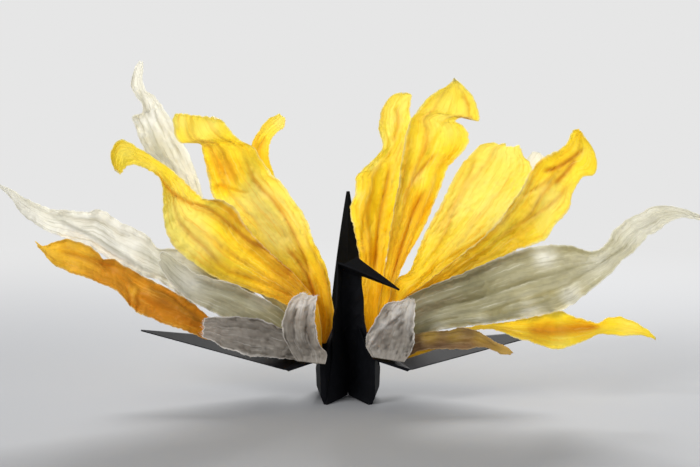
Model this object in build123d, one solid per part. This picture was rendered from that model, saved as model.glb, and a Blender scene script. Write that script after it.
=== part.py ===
from build123d import *
import os
from math import asin, atan2, cos, dist, pi, radians, sin, tan

# Lengths are in millimetres and angles in degrees. x runs across the wings, the head is at -y
# and the tail at +y. z is up from the four feet of the folded crane.

# The sheet
square_side = 150
paper_thickness = 0.1
body_pitch = 0.22
leg_pitch = 0.16
leg_middle_slot = 3.5
slit_half_width = 0.15
flap_gap = 0.33
belly_lift = 0.6
peak_half_width = 0.5

# The puffed body
belly_half_width = 9.0
foot_half_width = 7.3
belly_flare = 0.04
wing_hinge_height = 13.9
hump_height = 29.4
foot_pad_length = 1.4

# The wings
wing_rise = 5.5
wing_droop = 12

# Neck and head
neck_spine_depth = 2.2
neck_lean = 5.6
neck_rows = 10
neck_open_top = 52
neck_twist = 38
head_length = 29
head_turn = 102
head_rows = 7
head_open_tip = 40
head_blunt = 2.6

# Petals: dried lily petals laid on the wings like feathers
petal_thickness = 0.4
petal_full_width = 14
petal_seat_gap = 0.35
petal_rows = 25
petal_columns = 11
view_distance = 560
view_elevation = 9

# Tail
tail_spine_depth = 2.0
tail_lean = 23
tail_rows = 12
tail_open_tip = 58
tail_twist = 0
tail_blunt = 3.4

half_side = square_side / 2
# The narrowing crease takes an eighth of the right angle at the corner of the sheet,
# and the edge of the bird base a quarter of it.
narrow = radians(90 / 8)
quarter = radians(90 / 4)


def narrowing(h):
    return (half_side + h) * tan(narrow)


# Creases of the folded base: across from its centre line, up from the line the legs hang from.
centre_h = half_side * tan(quarter)
point_h = (1 / cos(quarter) - 1) * half_side
joint_h = (centre_h - half_side * tan(narrow)) / (1 + tan(narrow))
shoulder_h = half_side * (tan(quarter) - tan(narrow)) / (tan(quarter) + tan(narrow))
joint = (narrowing(joint_h), joint_h)
inner = (narrowing(0), 0)
shoulder = (narrowing(shoulder_h), shoulder_h)
centre = (0, centre_h)
point = (0, point_h)
tip = (0, half_side)


def moved_in(corner, target, distance):
    """A corner on the narrowing crease, moved towards target until it is distance from the crease."""
    reach = (half_side + target[1]) * sin(narrow) - target[0] * cos(narrow)
    share = distance / reach
    return (corner[0] + (target[0] - corner[0]) * share, corner[1] + (target[1] - corner[1]) * share)


def between(a, b, share):
    return a + (b - a) * share


def three_planes(n1, d1, n2, d2, n3, d3):
    """The point whose distances along three directions are given."""
    total = n2.cross(n3) * d1 + n3.cross(n1) * d2 + n1.cross(n2) * d3
    return total * (1 / n1.dot(n2.cross(n3)))


class Leg:
    """One long corner of the sheet, reverse-folded up into the neck or the tail."""

    def __init__(self, end, depth, lean, open_tip, twist, bend_at):
        self.end, self.depth, self.bend_at = end, depth, bend_at
        self.slope = tan(radians(lean / 2))
        self.foot_v = (half_side - depth) * tan(narrow) / (1 + self.slope * tan(narrow))
        self.open_base = asin(foot_half_width / self.foot_v)
        self.open_tip, self.twist = radians(open_tip), radians(twist)
        self.up = Vector(0, end * sin(radians(lean)), cos(radians(lean)))
        self.out = Vector(0, end * cos(radians(lean)), -sin(radians(lean)))
        reach = self.slope * self.foot_v * self.up.Y + cos(self.open_base) * self.foot_v * self.out.Y
        self.base = Vector(0, end * self.foot_v - reach, -depth)

    def frame(self, u, side):
        """Along the spine, out to the folded edge, the panel's outward normal, and its half angle."""
        share = min(max(u / self.bend_at, 0), 1)
        angle = self.open_base + (self.open_tip - self.open_base) * share
        twist = self.twist * share * share * (3 - 2 * share)
        across = Vector(1, 0, 0)
        out = self.out * cos(twist) + across * sin(twist)
        across = across * cos(twist) - self.out * sin(twist)
        arm = out * cos(angle) + across * (side * sin(angle))
        normal = out * (-sin(angle)) + across * (side * cos(angle))
        return out, arm, normal, angle

    def edge_v(self, u):
        return (half_side - self.depth - u) * tan(narrow)

    def spot(self, u, v, w, side):
        out, arm, normal, angle = self.frame(u, side)
        return self.base + self.up * u + arm * v + normal * w

    def spine(self, u, w):
        out, arm, normal, angle = self.frame(u, 1)
        return self.base + self.up * u - out * (w / sin(angle))


class Sheet:
    """The middle surface of the folded paper, as corner points and triangles."""

    def __init__(self):
        self.spots, self.facets = {}, []

    def put(self, key, spot):
        self.spots[key] = spot
        return key

    def panel(self, keys):
        for i in range(1, len(keys) - 1):
            self.facets.append((keys[0], keys[i], keys[i + 1]))

    def strip(self, first, second):
        for i in range(len(first) - 1):
            self.facets.append((first[i], first[i + 1], second[i + 1]))
            self.facets.append((first[i], second[i + 1], second[i]))


def belly(end, side, s, h, w):
    taper = (belly_half_width - foot_half_width) / inner[0]
    return Vector(side * (belly_half_width - taper * s + belly_flare * h + w), end * s, h)


def wing(end, side, s, h, w):
    rise = radians(wing_rise)
    hinge = belly(end, side, s, wing_hinge_height, 0)
    if h <= wing_hinge_height:
        return hinge + Vector(side, 0, (sin(rise) - 1) / cos(rise)) * w
    along = Vector(side * cos(rise), 0, sin(rise)) * (h - wing_hinge_height)
    away = Vector(side * sin(rise), 0, -cos(rise)) * w
    return hinge + along + away - Vector(0, 0, s * tan(radians(wing_droop)))


def body_layers(sheet, leg, end, side):
    """One quarter of the body and wing. Layers are counted from the inside of the body outwards."""
    order = {"G": 0, "H": 1, "W": 2, "F": 3, "F2": 4, "W2": 5, "H2": 6, "G2": 7}
    nest = {"G": 0, "H": 1, "W": 2, "F": 3}

    def mark(layer, name, flat, place=belly, shared=False):
        key = (0 if shared else end, side, layer, name)
        return sheet.put(key, place(end, side, flat[0], flat[1], order[layer] * body_pitch))

    def inset(layer):
        return nest[layer[0]] * body_pitch

    def crease(layer, h):
        return (narrowing(h) - inset(layer) / cos(narrow), h)

    raw, wrap, tuck = slit_half_width, slit_half_width, slit_half_width + flap_gap
    hinge = wing_hinge_height
    cross_share = (hinge - point_h) / (shoulder_h - point_h)
    cross = (shoulder[0] * cross_share, hinge)

    # The wing and its flap, from the belly up over the hinge and out to the tip
    root = {}
    for layer, middle in (("W", 0), ("F", raw)):
        joined = layer == "W"
        low = belly_lift if joined else 0
        n = mark(layer, "N", (middle, low), shared=joined)
        i = mark(layer, "I", crease(layer, low))
        b0 = mark(layer, "B0", (middle, hinge), wing, joined)
        b1 = mark(layer, "B1", crease(layer, hinge), wing)
        k = mark(layer, "K", moved_in(shoulder, tip, inset(layer)), wing)
        a = mark(layer, "A", (middle, half_side - tuck / tan(quarter)), wing, joined)
        a1 = mark(layer, "A1", (tuck, half_side - tuck / tan(quarter)), wing)
        sheet.panel([n, i, b1, b0])
        sheet.panel([b0, b1, k])
        sheet.panel([b0, k, a1, a])
        root[layer] = (n, i, b1, k, a1)
    sheet.strip([root["W"][3], root["W"][4]], [root["F"][3], root["F"][4]])

    # The narrowed edge, turned under the wing
    back = {}
    for layer in ("F2", "W2"):
        edge = wrap if layer == "F2" else tuck
        p = mark(layer, "P", (edge, point_h))
        i = mark(layer, "I", moved_in(inner, point, inset(layer)))
        b1 = mark(layer, "B1", crease(layer, hinge), wing)
        b2 = mark(layer, "B2", cross, wing)
        k = mark(layer, "K", moved_in(shoulder, point, inset(layer)), wing)
        sheet.panel([p, i, b1, b2])
        sheet.panel([b2, b1, k])
        back[layer] = (p, i, b1, k, b2)
    for front, behind in (("W", "W2"), ("F", "F2")):
        sheet.strip(list(root[front][1:4]), list(back[behind][1:4]))
    sheet.strip([back["W2"][3], back["W2"][4], back["W2"][0]], [back["F2"][3], back["F2"][4], back["F2"][0]])

    # The hump and the part of it turned back
    c = sheet.put((0, side, "H", "C"), Vector(side * peak_half_width, 0, hump_height))
    n = mark("H", "N", (0, belly_lift), shared=True)
    i = mark("H", "I", crease("H", belly_lift))
    j = mark("H", "J", moved_in(joint, centre, inset("H")))
    sheet.panel([n, i, j])
    sheet.panel([n, j, c])
    sheet.strip([n, i], [root["W"][0], root["W"][1]])
    p2 = mark("H2", "P", (tuck, point_h))
    i2 = mark("H2", "I", moved_in(inner, point, inset("H")))
    j2 = mark("H2", "J", moved_in(joint, point, inset("H")))
    sheet.panel([p2, i2, j2])
    sheet.strip([i, j], [i2, j2])
    sheet.strip([p2, i2], [back["W2"][0], back["W2"][1]])

    # The gusset that runs down into the leg, with the part of it turned back
    gc = sheet.put((end, 0, "G", "C"), Vector(0, end * peak_half_width, hump_height - belly_lift / 2))
    gj = mark("G", "J", joint)
    gi = mark("G", "I", inner)
    sheet.strip([gc, gj], [c, j])
    g2p = mark("G2", "P", (wrap, point_h))
    g2j = mark("G2", "J", joint)
    g2i = mark("G2", "I", inner)
    g2o = mark("G2", "O", (wrap, 0))
    sheet.panel([g2p, g2j, g2i, g2o])
    sheet.strip([gi, gj], [g2i, g2j])
    sheet.strip([g2p, g2j], [p2, j2])
    f2o = mark("F2", "O", (wrap, 0))
    sheet.panel([back["F2"][0], f2o, back["F2"][1]])
    sheet.strip([back["F2"][0], f2o], [g2p, g2o])

    # Down to the reverse fold, where the layers close up
    tops = {"G": None, "F": (root["F"][0], root["F"][1]), "F2": (f2o, back["F2"][1]), "G2": (g2o, g2i)}
    feet = leg_fold(sheet, leg, end, side, "body", 1)
    for layer, top in tops.items():
        a, m, b = feet[layer]
        if layer == "G":
            sheet.panel([gc, a, gj])
            sheet.panel([gj, a, gi])
            sheet.panel([gi, a, m])
            sheet.panel([gi, m, b])
        else:
            sheet.panel([top[1], top[0], a, m])
            sheet.panel([top[1], m, b])
    sheet.strip([gi, feet["G"][2]], [g2i, feet["G2"][2]])
    sheet.strip([tops["F"][1], feet["F"][2]], [tops["F2"][1], feet["F2"][2]])
    sheet.strip([tops["F2"][0], feet["F2"][0]], [tops["G2"][0], feet["G2"][0]])
    return feet


leg_slots = {"G": 0.5, "F": 1.5, "F2": 2.5, "G2": 3.5}
leg_nest = {"G": 0, "F": 1, "F2": 1, "G2": 0}


def leg_columns(leg, layer, u, w, angle):
    """Where a layer of the leg starts, has its inner column and ends, out from the spine."""
    start = 0 if layer == "G" else slit_half_width + max(-w, 0) / tan(angle)
    end = leg.edge_v(u) - leg_nest[layer] * leg_pitch / cos(narrow)
    pad = foot_pad_length / 2 if end > 3 * foot_pad_length else (end - start) / 4
    return start, end - pad, end


def leg_fold(sheet, leg, end, side, part, outward):
    """The row of points on the reverse fold, on the body's side of it or on the leg's."""
    feet = {}
    for layer, slot in leg_slots.items():
        w = outward * slot * leg_pitch
        lift = (leg_middle_slot - slot) * leg_pitch
        u = leg.foot_v * leg.slope + lift
        cols = leg_columns(leg, layer, u, w, leg.open_base)
        row = []
        for name, v in zip("amb", cols):
            up = v * leg.slope + lift
            if layer == "G" and name == "a":
                row.append(sheet.put((end, 0, part, layer, 0, name), leg.spine(up, w)))
            else:
                row.append(sheet.put((end, side, part, layer, 0, name), leg.spot(up, v, w, side)))
        feet[layer] = row
    return feet


def leg_layers(sheet, leg, end, side, feet, rows, blunt, head):
    """The leg above the reverse fold, all four layers of it, and for the neck the head too."""
    inside = leg_fold(sheet, leg, end, side, "leg", -1)
    for layer in leg_slots:
        sheet.strip(feet[layer], inside[layer])
    last = leg.bend_at if head else half_side - leg.depth - blunt
    edge = {}
    bend = HeadFold(leg, side) if head else None
    for layer, slot in leg_slots.items():
        w = -slot * leg_pitch
        lift = (leg_middle_slot - slot) * leg_pitch
        grid = [inside[layer]]
        for r in range(1, rows + 1):
            share = r / rows
            guess = lift + (last - lift) * share
            cols = leg_columns(leg, layer, guess, w, leg.frame(guess, 1)[3])
            row = []
            for name, v in zip("amb", cols):
                low = v * leg.slope + lift
                top = last + (bend.climb * v if head else 0)
                u = low + (top - low) * share
                key = (end, side, "leg", layer, r, name)
                if layer == "G" and name == "a":
                    key = (end, 0, "leg", layer, r, name)
                    spot = bend.spine(w, layer) if head and r == rows else leg.spine(u, w)
                elif head and r == rows:
                    spot = bend.spot(v, w, layer)
                else:
                    spot = leg.spot(u, v, w, side)
                row.append(sheet.put(key, spot))
            grid.append(row)
        if head:
            grid += bend.rows(sheet, layer, grid[-1], blunt)
        for low, high in zip(grid, grid[1:]):
            sheet.strip(low, high)
        edge[layer] = ([row[0] for row in grid], [row[2] for row in grid])
    sheet.strip(edge["G"][1], edge["G2"][1])
    sheet.strip(edge["F"][1], edge["F2"][1])
    sheet.strip(edge["F2"][0], edge["G2"][0])


class HeadFold:
    """The second reverse fold, which turns the end of the neck down into the head."""

    def __init__(self, leg, side):
        self.leg, self.side = leg, side
        turn = radians(head_turn)
        self.out, self.arm, self.normal, self.angle = leg.frame(leg.bend_at, side)
        self.origin = leg.base + leg.up * leg.bend_at
        self.along = leg.up * cos(turn) + self.out * sin(turn)
        self.rim = leg.up * sin(turn) - self.out * cos(turn)
        self.across = (self.arm - self.out * cos(self.angle)) * (1 / sin(self.angle))
        fold = atan2(tan(turn / 2), cos(self.angle))
        self.fold, self.climb = fold, cos(fold) / sin(fold)
        self.line = leg.up * cos(fold) + self.arm * sin(fold)
        self.turn = turn

    def panel(self, angle):
        arm = self.rim * cos(angle) + self.across * sin(angle)
        normal = self.rim * (-sin(angle)) + self.across * cos(angle)
        return arm, normal

    def depth(self, layer):
        return -(4 - leg_slots[layer]) * leg_pitch

    def spine(self, w, layer):
        b = -w / sin(self.angle)
        c = -self.depth(layer) / sin(self.angle)
        a = (c + b * cos(self.turn)) / sin(self.turn)
        return self.origin + self.leg.up * a + self.out * b

    def spot(self, v, w, layer):
        normal = self.panel(self.angle)[1]
        place = three_planes(self.normal, w, normal, self.depth(layer), self.line, v / sin(self.fold))
        return self.origin + place

    def rows(self, sheet, layer, start, blunt):
        leg, made = self.leg, []
        w = self.depth(layer)
        last = half_side - leg.depth - blunt - leg.bend_at
        for r in range(1, head_rows + 1):
            share = r / head_rows
            angle = self.angle + (radians(head_open_tip) - self.angle) * share
            arm, normal = self.panel(angle)
            u_spine = last * share
            cols = leg_columns(leg, layer, leg.bend_at + u_spine, w, angle)
            row = []
            for name, v in zip("amb", cols):
                low = self.climb * v
                u = low + (last - low) * share
                if layer == "G" and name == "a":
                    spot = self.origin + self.along * u + self.rim * (-w / sin(angle))
                    row.append(sheet.put((leg.end, 0, "head", layer, r, name), spot))
                else:
                    spot = self.origin + self.along * u + arm * v + normal * w
                    row.append(sheet.put((leg.end, self.side, "head", layer, r, name), spot))
            made.append(row)
        return made


def faced(facets):
    """The facets with one side of the paper kept outwards across every shared edge."""
    edges = {}
    for index, facet in enumerate(facets):
        for k in range(3):
            edges.setdefault(frozenset((facet[k], facet[(k + 1) % 3])), []).append(index)
    turned, done, queue = list(facets), {0}, [0]
    while queue:
        index = queue.pop()
        a = turned[index]
        for k in range(3):
            pair = (a[k], a[(k + 1) % 3])
            for other in edges[frozenset(pair)]:
                if other in done:
                    continue
                b = turned[other]
                if pair in [(b[m], b[(m + 1) % 3]) for m in range(3)]:
                    turned[other] = (b[0], b[2], b[1])
                done.add(other)
                queue.append(other)
    return turned, edges


def thickened(spots, facets, thickness):
    """Corner points half a thickness to each side of the middle surface."""
    lean = {key: [] for key in spots}
    for facet in facets:
        a, b, c = (spots[key] for key in facet)
        normal = (b - a).cross(c - a).normalized()
        for key in facet:
            lean[key].append(normal)
    upper, lower = {}, {}
    for key, normals in lean.items():
        push = Vector(0, 0, 0)
        for turn in range(60):
            for normal in normals:
                push = push + normal * ((thickness / 2 - normal.dot(push)) * 0.3)
        if push.length > thickness:
            push = push * (thickness / push.length)
        upper[key], lower[key] = spots[key] + push, spots[key] - push
    return upper, lower


def skin_of(facets, edges, upper, lower):
    """Triangles of the closed skin: both sides of every facet, and the cut edges of the paper."""
    skin = []
    for a, b, c in facets:
        skin.append((upper[a], upper[b], upper[c]))
        skin.append((lower[a], lower[c], lower[b]))
        for p, q in ((a, b), (b, c), (c, a)):
            if len(edges[frozenset((p, q))]) == 1:
                skin.append((upper[q], upper[p], lower[p]))
                skin.append((upper[q], lower[p], lower[q]))
    return skin


def set_down(spots, nod, drop):
    """From the frame of the folded base to the row's: the nose a little down and the feet level."""
    return {key: Vector(p.X, p.Y * cos(nod) - p.Z * sin(nod), p.Z * cos(nod) + p.Y * sin(nod) - drop)
            for key, p in spots.items()}


def foot_keys(end, side):
    return [(end, side, part, "G2", 0, name) for part in ("body", "leg") for name in "mb"]


def crane():
    """Triangles of the folded sheet's skin on its feet, and how far its frame nods and drops."""
    sheet = Sheet()
    neck = Leg(-1, neck_spine_depth, neck_lean, neck_open_top, neck_twist,
               half_side - neck_spine_depth - head_length)
    tail = Leg(1, tail_spine_depth, tail_lean, tail_open_tip, tail_twist, half_side - tail_spine_depth)
    for leg, rows, blunt, head in ((neck, neck_rows, head_blunt, True), (tail, tail_rows, tail_blunt, False)):
        for side in (1, -1):
            feet = body_layers(sheet, leg, leg.end, side)
            leg_layers(sheet, leg, leg.end, side, feet, rows, blunt, head)
    sheet.panel([(0, 1, "H", "C"), (-1, 0, "G", "C"), (0, -1, "H", "C"), (1, 0, "G", "C")])
    facets, edges = faced(sheet.facets)
    upper, lower = thickened(sheet.spots, facets, paper_thickness)
    toe, heel = (min(upper[key], lower[key], key=lambda p: p.Z) for key in ((-1, 1, "leg", "G2", 0, "b"),
                                                                            (1, 1, "leg", "G2", 0, "b")))
    nod = atan2(toe.Z - heel.Z, heel.Y - toe.Y)
    drop = min(p.Z for skin in (upper, lower) for p in set_down(skin, nod, 0).values())
    upper, lower = set_down(upper, nod, drop), set_down(lower, nod, drop)
    for end in (-1, 1):
        for side in (1, -1):
            for key in foot_keys(end, side):
                skin = upper if upper[key].Z < lower[key].Z else lower
                skin[key] = Vector(skin[key].X, skin[key].Y, 0)
    return skin_of(facets, edges, upper, lower), nod, drop


def solid_of(skin):
    faces = [Face(Wire.make_polygon([a, b, c], close=True)) for a, b, c in skin]
    return Solid(Shell(faces))


def wing_top(x, y, nod, drop):
    """Height of the top layer of the wing above a place."""
    out = max(abs(x) - belly_half_width, 0)
    droop = abs(y) * tan(radians(wing_droop)) * min(out / (shoulder_h - wing_hinge_height), 1)
    return (wing_hinge_height + out * tan(radians(wing_rise)) - droop) * cos(nod) + y * sin(nod) - drop


def along_rib(shares, t):
    """A smooth curve through evenly spaced values, number or tuple."""
    spans = len(shares) - 1
    i = min(int(t * spans), spans - 1)
    f = t * spans - i
    a, b, c, d = (shares[min(max(k, 0), spans)] for k in (i - 1, i, i + 1, i + 2))
    if i == 0:
        a = tuple(2 * p - q for p, q in zip(b, c)) if isinstance(b, tuple) else 2 * b - c
    if i == spans - 1:
        d = tuple(2 * p - q for p, q in zip(c, b)) if isinstance(b, tuple) else 2 * c - b

    def blend(p, q, r, w):
        return q + 0.5 * f * (r - p + f * (2 * p - 5 * q + 4 * r - w + f * (3 * (q - r) + w - p)))
    if isinstance(b, tuple):
        return tuple(blend(*v) for v in zip(a, b, c, d))
    return blend(a, b, c, d)


# Each petal stands on its claw, "out" from the middle and "back" from the centre line. Its two edges
# are traced from the front on a grid, to the right and down, claw to tip; the length sets their scale.
# depth_shares say how far back the petal stands along it, in lengths. bow is how far its middle
# stands behind its edges, lean how far its upper edge stands behind its lower, and pleat how deep
# its long folds are.
petals = {
    "petal_left_pale_long": {
        "side": -1, "length": 117, "out": 15, "back": -6.5, "lift": 1.0, "bow": 1.6, "lean": 1.5, "pleat": 0.45, "pleats": 5,
        "depth_shares": (0, -0.01, -0.02, -0.025, -0.029, -0.035, -0.044, -0.056, -0.081),
        "upper_shares": ((307, 340), (270, 305), (232, 277), (195, 254), (158, 248), (134, 228), (101, 210),
                         (68, 210), (38, 204), (14, 191), (2, 185), (-7, 181)),
        "lower_shares": ((299, 352), (255, 330), (218, 312), (188, 301), (158, 280), (127, 268), (94, 248),
                         (60, 236), (30, 220), (11, 199), (2, 190), (-7, 184))},
    "petal_left_pale_low": {
        "side": -1, "length": 58, "out": 15, "back": -14.5, "lift": 0.6, "bow": 0.8, "lean": 0.6, "pleat": 0.45, "pleats": 5,
        "depth_shares": (0, -0.01, -0.021, -0.029, -0.04),
        "upper_shares": ((305, 349), (296, 328), (284, 312), (268, 301), (252, 293), (238, 286), (224, 281),
                         (210, 278), (196, 273), (183, 265), (172, 256), (163, 251), (160, 253)),
        "lower_shares": ((299, 360), (285, 350), (268, 340), (250, 330), (233, 322), (220, 316), (207, 309),
                         (196, 304), (186, 298), (177, 290), (168, 280), (161, 268), (159, 262))},
    "petal_left_low_claw": {
        "side": -1, "length": 40, "out": 11, "back": -18, "lift": 1.35, "bow": 1.2, "lean": 1.0, "pleat": 0.35, "pleats": 3,
        "depth_shares": (0, -0.01, -0.02, -0.03, -0.037),
        "upper_shares": ((322, 350), (308, 342), (295, 335), (281, 328), (267, 322), (253, 318), (238, 317),
                         (224, 317), (213, 317), (204, 318)),
        "lower_shares": ((318, 364), (303, 361), (290, 359), (277, 358), (263, 357), (249, 356), (235, 351),
                         (222, 347), (212, 341), (203, 337))},
    "petal_left_torn_claw": {
        "side": -1, "length": 24, "out": 12, "back": -20.5, "lift": -0.7, "bow": 1.4, "lean": 0.2, "pleat": 0.35, "pleats": 3,
        "depth_shares": (0, -0.008, -0.021, -0.029, -0.037),
        "upper_shares": ((325, 364), (327, 354), (320, 346), (317, 334), (315, 322), (314, 312), (315, 303),
                         (318, 297)),
        "lower_shares": ((297, 361), (290, 350), (285, 340), (282, 328), (284, 316), (288, 306), (292, 298),
                         (297, 294))},
    "petal_left_yellow_front": {
        "side": -1, "length": 99, "out": 11, "back": -9, "lift": 0, "bow": 1.8, "lean": 0.6, "pleat": 0.5, "pleats": 5,
        "depth_shares": (0, -0.005, -0.009, -0.017, -0.026, -0.034, -0.045, -0.058, -0.087),
        "upper_shares": ((322, 350), (316, 302), (290, 270), (255, 237), (235, 208), (205, 199), (184, 181),
                         (157, 160), (131, 143), (112, 148), (111, 160), (115, 170)),
        "lower_shares": ((309, 352), (297, 313), (263, 295), (219, 279), (187, 258), (166, 230), (163, 196),
                         (152, 172), (133, 165), (124, 169), (122, 172), (120, 174))},
    "petal_left_yellow_middle": {
        "side": -1, "length": 88, "out": 10, "back": -4, "lift": 0, "bow": 1.6, "lean": 0.0, "pleat": 0.5, "pleats": 5,
        "depth_shares": (0, -0.004, -0.01, -0.014, -0.02, -0.023, -0.029, -0.044, -0.082),
        "upper_shares": ((326, 348), (331, 292), (319, 252), (309, 226), (294, 201), (271, 173), (253, 147),
                         (236, 137), (224, 122), (219, 118), (216, 118)),
        "lower_shares": ((312, 350), (303, 300), (278, 264), (248, 233), (223, 209), (209, 182), (203, 153),
                         (189, 143), (174, 131), (173, 119), (175, 113))},
    "petal_left_yellow_back": {
        "side": -1, "length": 80, "out": 10, "back": 2.5, "lift": 0, "bow": 1.2, "lean": 0.0, "pleat": 0.5, "pleats": 5,
        "depth_shares": (0, 0.01, 0.02, 0.03, 0.04, 0.05, 0.06, 0.081, 0.125),
        "upper_shares": ((325, 340), (323, 300), (315, 260), (303, 226), (289, 203), (278, 183), (271, 166),
                         (269, 152), (271, 142), (276, 133), (284, 127), (285, 118)),
        "lower_shares": ((312, 342), (303, 306), (290, 270), (277, 235), (268, 207), (260, 182), (254, 164),
                         (251, 149), (255, 137), (262, 126), (270, 118), (279, 114))},
    "petal_left_pale_tall": {
        "side": -1, "length": 112, "out": 11, "back": 8, "lift": 0, "bow": 1.4, "lean": 0.0, "pleat": 0.15, "pleats": 5,
        "depth_shares": (0, 0.01, 0.021, 0.033, 0.046, 0.055, 0.065, 0.081, 0.112),
        "upper_shares": ((322, 338), (275, 262), (225, 214), (199, 182), (182, 141), (167, 114), (155, 97),
                         (143, 84), (143, 75), (143, 68), (143, 62)),
        "lower_shares": ((310, 340), (245, 278), (190, 215), (158, 163), (140, 138), (135, 118), (134, 102),
                         (132, 87), (132, 76), (135, 68), (139, 61))},
    "petal_left_yellow_low": {
        "side": -1, "length": 93, "out": 18, "back": -11, "lift": 0.65, "bow": 1.6, "lean": 2.5, "pleat": 0.5, "pleats": 5,
        "depth_shares": (0, -0.009, -0.015, -0.023, -0.03, -0.037, -0.042, -0.051, -0.066),
        "upper_shares": ((297, 349), (252, 337), (212, 319), (181, 296), (147, 278), (113, 259), (95, 250),
                         (66, 239), (53, 243), (44, 246), (36, 242)),
        "lower_shares": ((290, 359), (243, 350), (203, 338), (168, 325), (137, 312), (117, 291), (92, 280),
                         (64, 270), (52, 263), (44, 253), (38, 247))},
    "petal_right_pale_long": {
        "side": 1, "length": 119, "out": 14, "back": -12, "lift": 0.6, "bow": 1.6, "lean": 0.8, "pleat": 0.45, "pleats": 5,
        "depth_shares": (0, -0.006, -0.012, -0.015, -0.018, -0.021, -0.026, -0.039, -0.067),
        "upper_shares": ((388, 347), (398, 305), (435, 284), (482, 265), (520, 250), (557, 245), (585, 250),
                         (605, 245), (614, 230), (640, 213), (670, 206), (685, 209), (703, 216)),
        "lower_shares": ((394, 359), (420, 338), (460, 327), (508, 320), (550, 314), (577, 301), (602, 281),
                         (623, 260), (641, 244), (658, 231), (680, 218), (693, 219), (706, 221))},
    "petal_right_torn_claw": {
        "side": 1, "length": 21, "out": 11, "back": -19.5, "lift": -0.35, "bow": 1.4, "lean": 0.2, "pleat": 0.35, "pleats": 3,
        "depth_shares": (0, -0.01, -0.019, -0.029, -0.038),
        "upper_shares": ((372, 357), (366, 345), (368, 334), (374, 322), (380, 312), (386, 304), (393, 301)),
        "lower_shares": ((404, 362), (411, 352), (414, 342), (414, 331), (414, 320), (415, 309), (415, 299))},
    "petal_right_yellow_low": {
        "side": 1, "length": 87, "out": 17, "back": -16, "lift": 0.45, "bow": 2.0, "lean": 2.0, "pleat": 0.5, "pleats": 5,
        "depth_shares": (0, -0.006, -0.01, -0.015, -0.02, -0.024, -0.029, -0.043, -0.069),
        "upper_shares": ((398, 353), (443, 337), (482, 325), (517, 320), (547, 314), (573, 316), (598, 323),
                         (620, 317), (633, 321), (645, 328), (656, 337)),
        "lower_shares": ((402, 364), (446, 345), (482, 329), (514, 337), (543, 346), (573, 345), (598, 334),
                         (622, 336), (634, 335), (645, 336), (655, 339))},
    "petal_right_low_small": {
        "side": 1, "length": 42, "out": 14, "back": -18, "lift": 0.85, "bow": 0.8, "lean": 0.6, "pleat": 0.2, "pleats": 5,
        "depth_shares": (0, -0.019, -0.038, -0.057, -0.071),
        "upper_shares": ((388, 352), (402, 340), (416, 334), (432, 332), (449, 330), (464, 328), (477, 331),
                         (487, 337), (497, 343), (507, 347), (513, 352)),
        "lower_shares": ((395, 364), (408, 358), (422, 350), (438, 349), (454, 349), (468, 349), (480, 347),
                         (488, 348), (497, 352), (506, 355), (511, 354))},
    "petal_right_yellow_wide": {
        "side": 1, "length": 97, "out": 12, "back": -9, "lift": 0, "bow": 1.8, "lean": 0.6, "pleat": 0.5, "pleats": 5,
        "depth_shares": (0, -0.004, -0.009, -0.018, -0.03, -0.044, -0.059, -0.074, -0.109),
        "upper_shares": ((379, 348), (402, 300), (440, 272), (477, 243), (505, 213), (524, 184), (539, 161),
                         (559, 150), (571, 134), (574, 130), (579, 129)),
        "lower_shares": ((390, 354), (425, 312), (462, 284), (496, 257), (530, 246), (553, 228), (570, 206),
                         (583, 177), (597, 163), (593, 149), (587, 140))},
    "petal_right_yellow_lobe": {
        "side": 1, "length": 79, "out": 12, "back": -5.5, "lift": 0, "bow": 1.6, "lean": 0.0, "pleat": 0.5, "pleats": 3,
        "depth_shares": (0, -0.004, -0.008, -0.01, -0.013, -0.019, -0.029, -0.035, -0.019),
        "upper_shares": ((379, 344), (395, 281), (416, 256), (431, 222), (450, 185), (470, 155), (478, 147),
                         (484, 144), (492, 143)),
        "lower_shares": ((391, 350), (415, 298), (447, 268), (481, 240), (511, 207), (532, 173), (529, 162),
                         (524, 156), (522, 148))},
    "petal_right_yellow_front": {
        "side": 1, "length": 90, "out": 11, "back": -2, "lift": 0, "bow": 1.6, "lean": 0.0, "pleat": 0.5, "pleats": 5,
        "depth_shares": (0, -0.003, -0.005, -0.009, -0.015, -0.02, -0.028, -0.042, -0.079),
        "upper_shares": ((375, 342), (382, 285), (389, 240), (395, 202), (400, 172), (404, 145), (409, 125),
                         (416, 113), (429, 97), (444, 87), (451, 82), (453, 79)),
        "lower_shares": ((388, 345), (397, 282), (416, 242), (434, 203), (447, 169), (466, 147), (463, 126),
                         (466, 117), (478, 110), (465, 88), (459, 82), (455, 79))},
    "petal_right_yellow_back": {
        "side": 1, "length": 83, "out": 10.5, "back": 5, "lift": 0, "bow": 1.4, "lean": 0.0, "pleat": 0.5, "pleats": 5,
        "depth_shares": (0, 0.011, 0.02, 0.03, 0.039, 0.049, 0.06, 0.065, 0.036),
        "upper_shares": ((373, 340), (361, 285), (357, 243), (350, 207), (356, 178), (373, 160), (380, 135),
                         (381, 112), (386, 102), (393, 95), (400, 93)),
        "lower_shares": ((385, 341), (383, 280), (392, 235), (401, 202), (408, 172), (411, 147), (412, 127),
                         (409, 109), (411, 101), (411, 95), (407, 93))},
    "petal_right_pale_back": {
        "side": 1, "length": 80, "out": 13, "back": 9, "lift": 0, "bow": 1.0, "lean": 0.0, "pleat": 0.45, "pleats": 3,
        "depth_shares": (0, 0.032, 0.054, 0.086, 0.113),
        "upper_shares": ((381, 337), (410, 292), (445, 245), (485, 200), (510, 175), (525, 160), (533, 152),
                         (537, 151)),
        "lower_shares": ((392, 341), (425, 300), (468, 255), (505, 212), (528, 187), (541, 172), (546, 162),
                         (543, 156))},
}


def petal_root(petal, stand):
    x, y = petal["side"] * petal["out"], petal["back"]
    return Vector(x, y, wing_top(x, y, *stand) + petal_seat_gap + petal["lift"])


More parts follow.
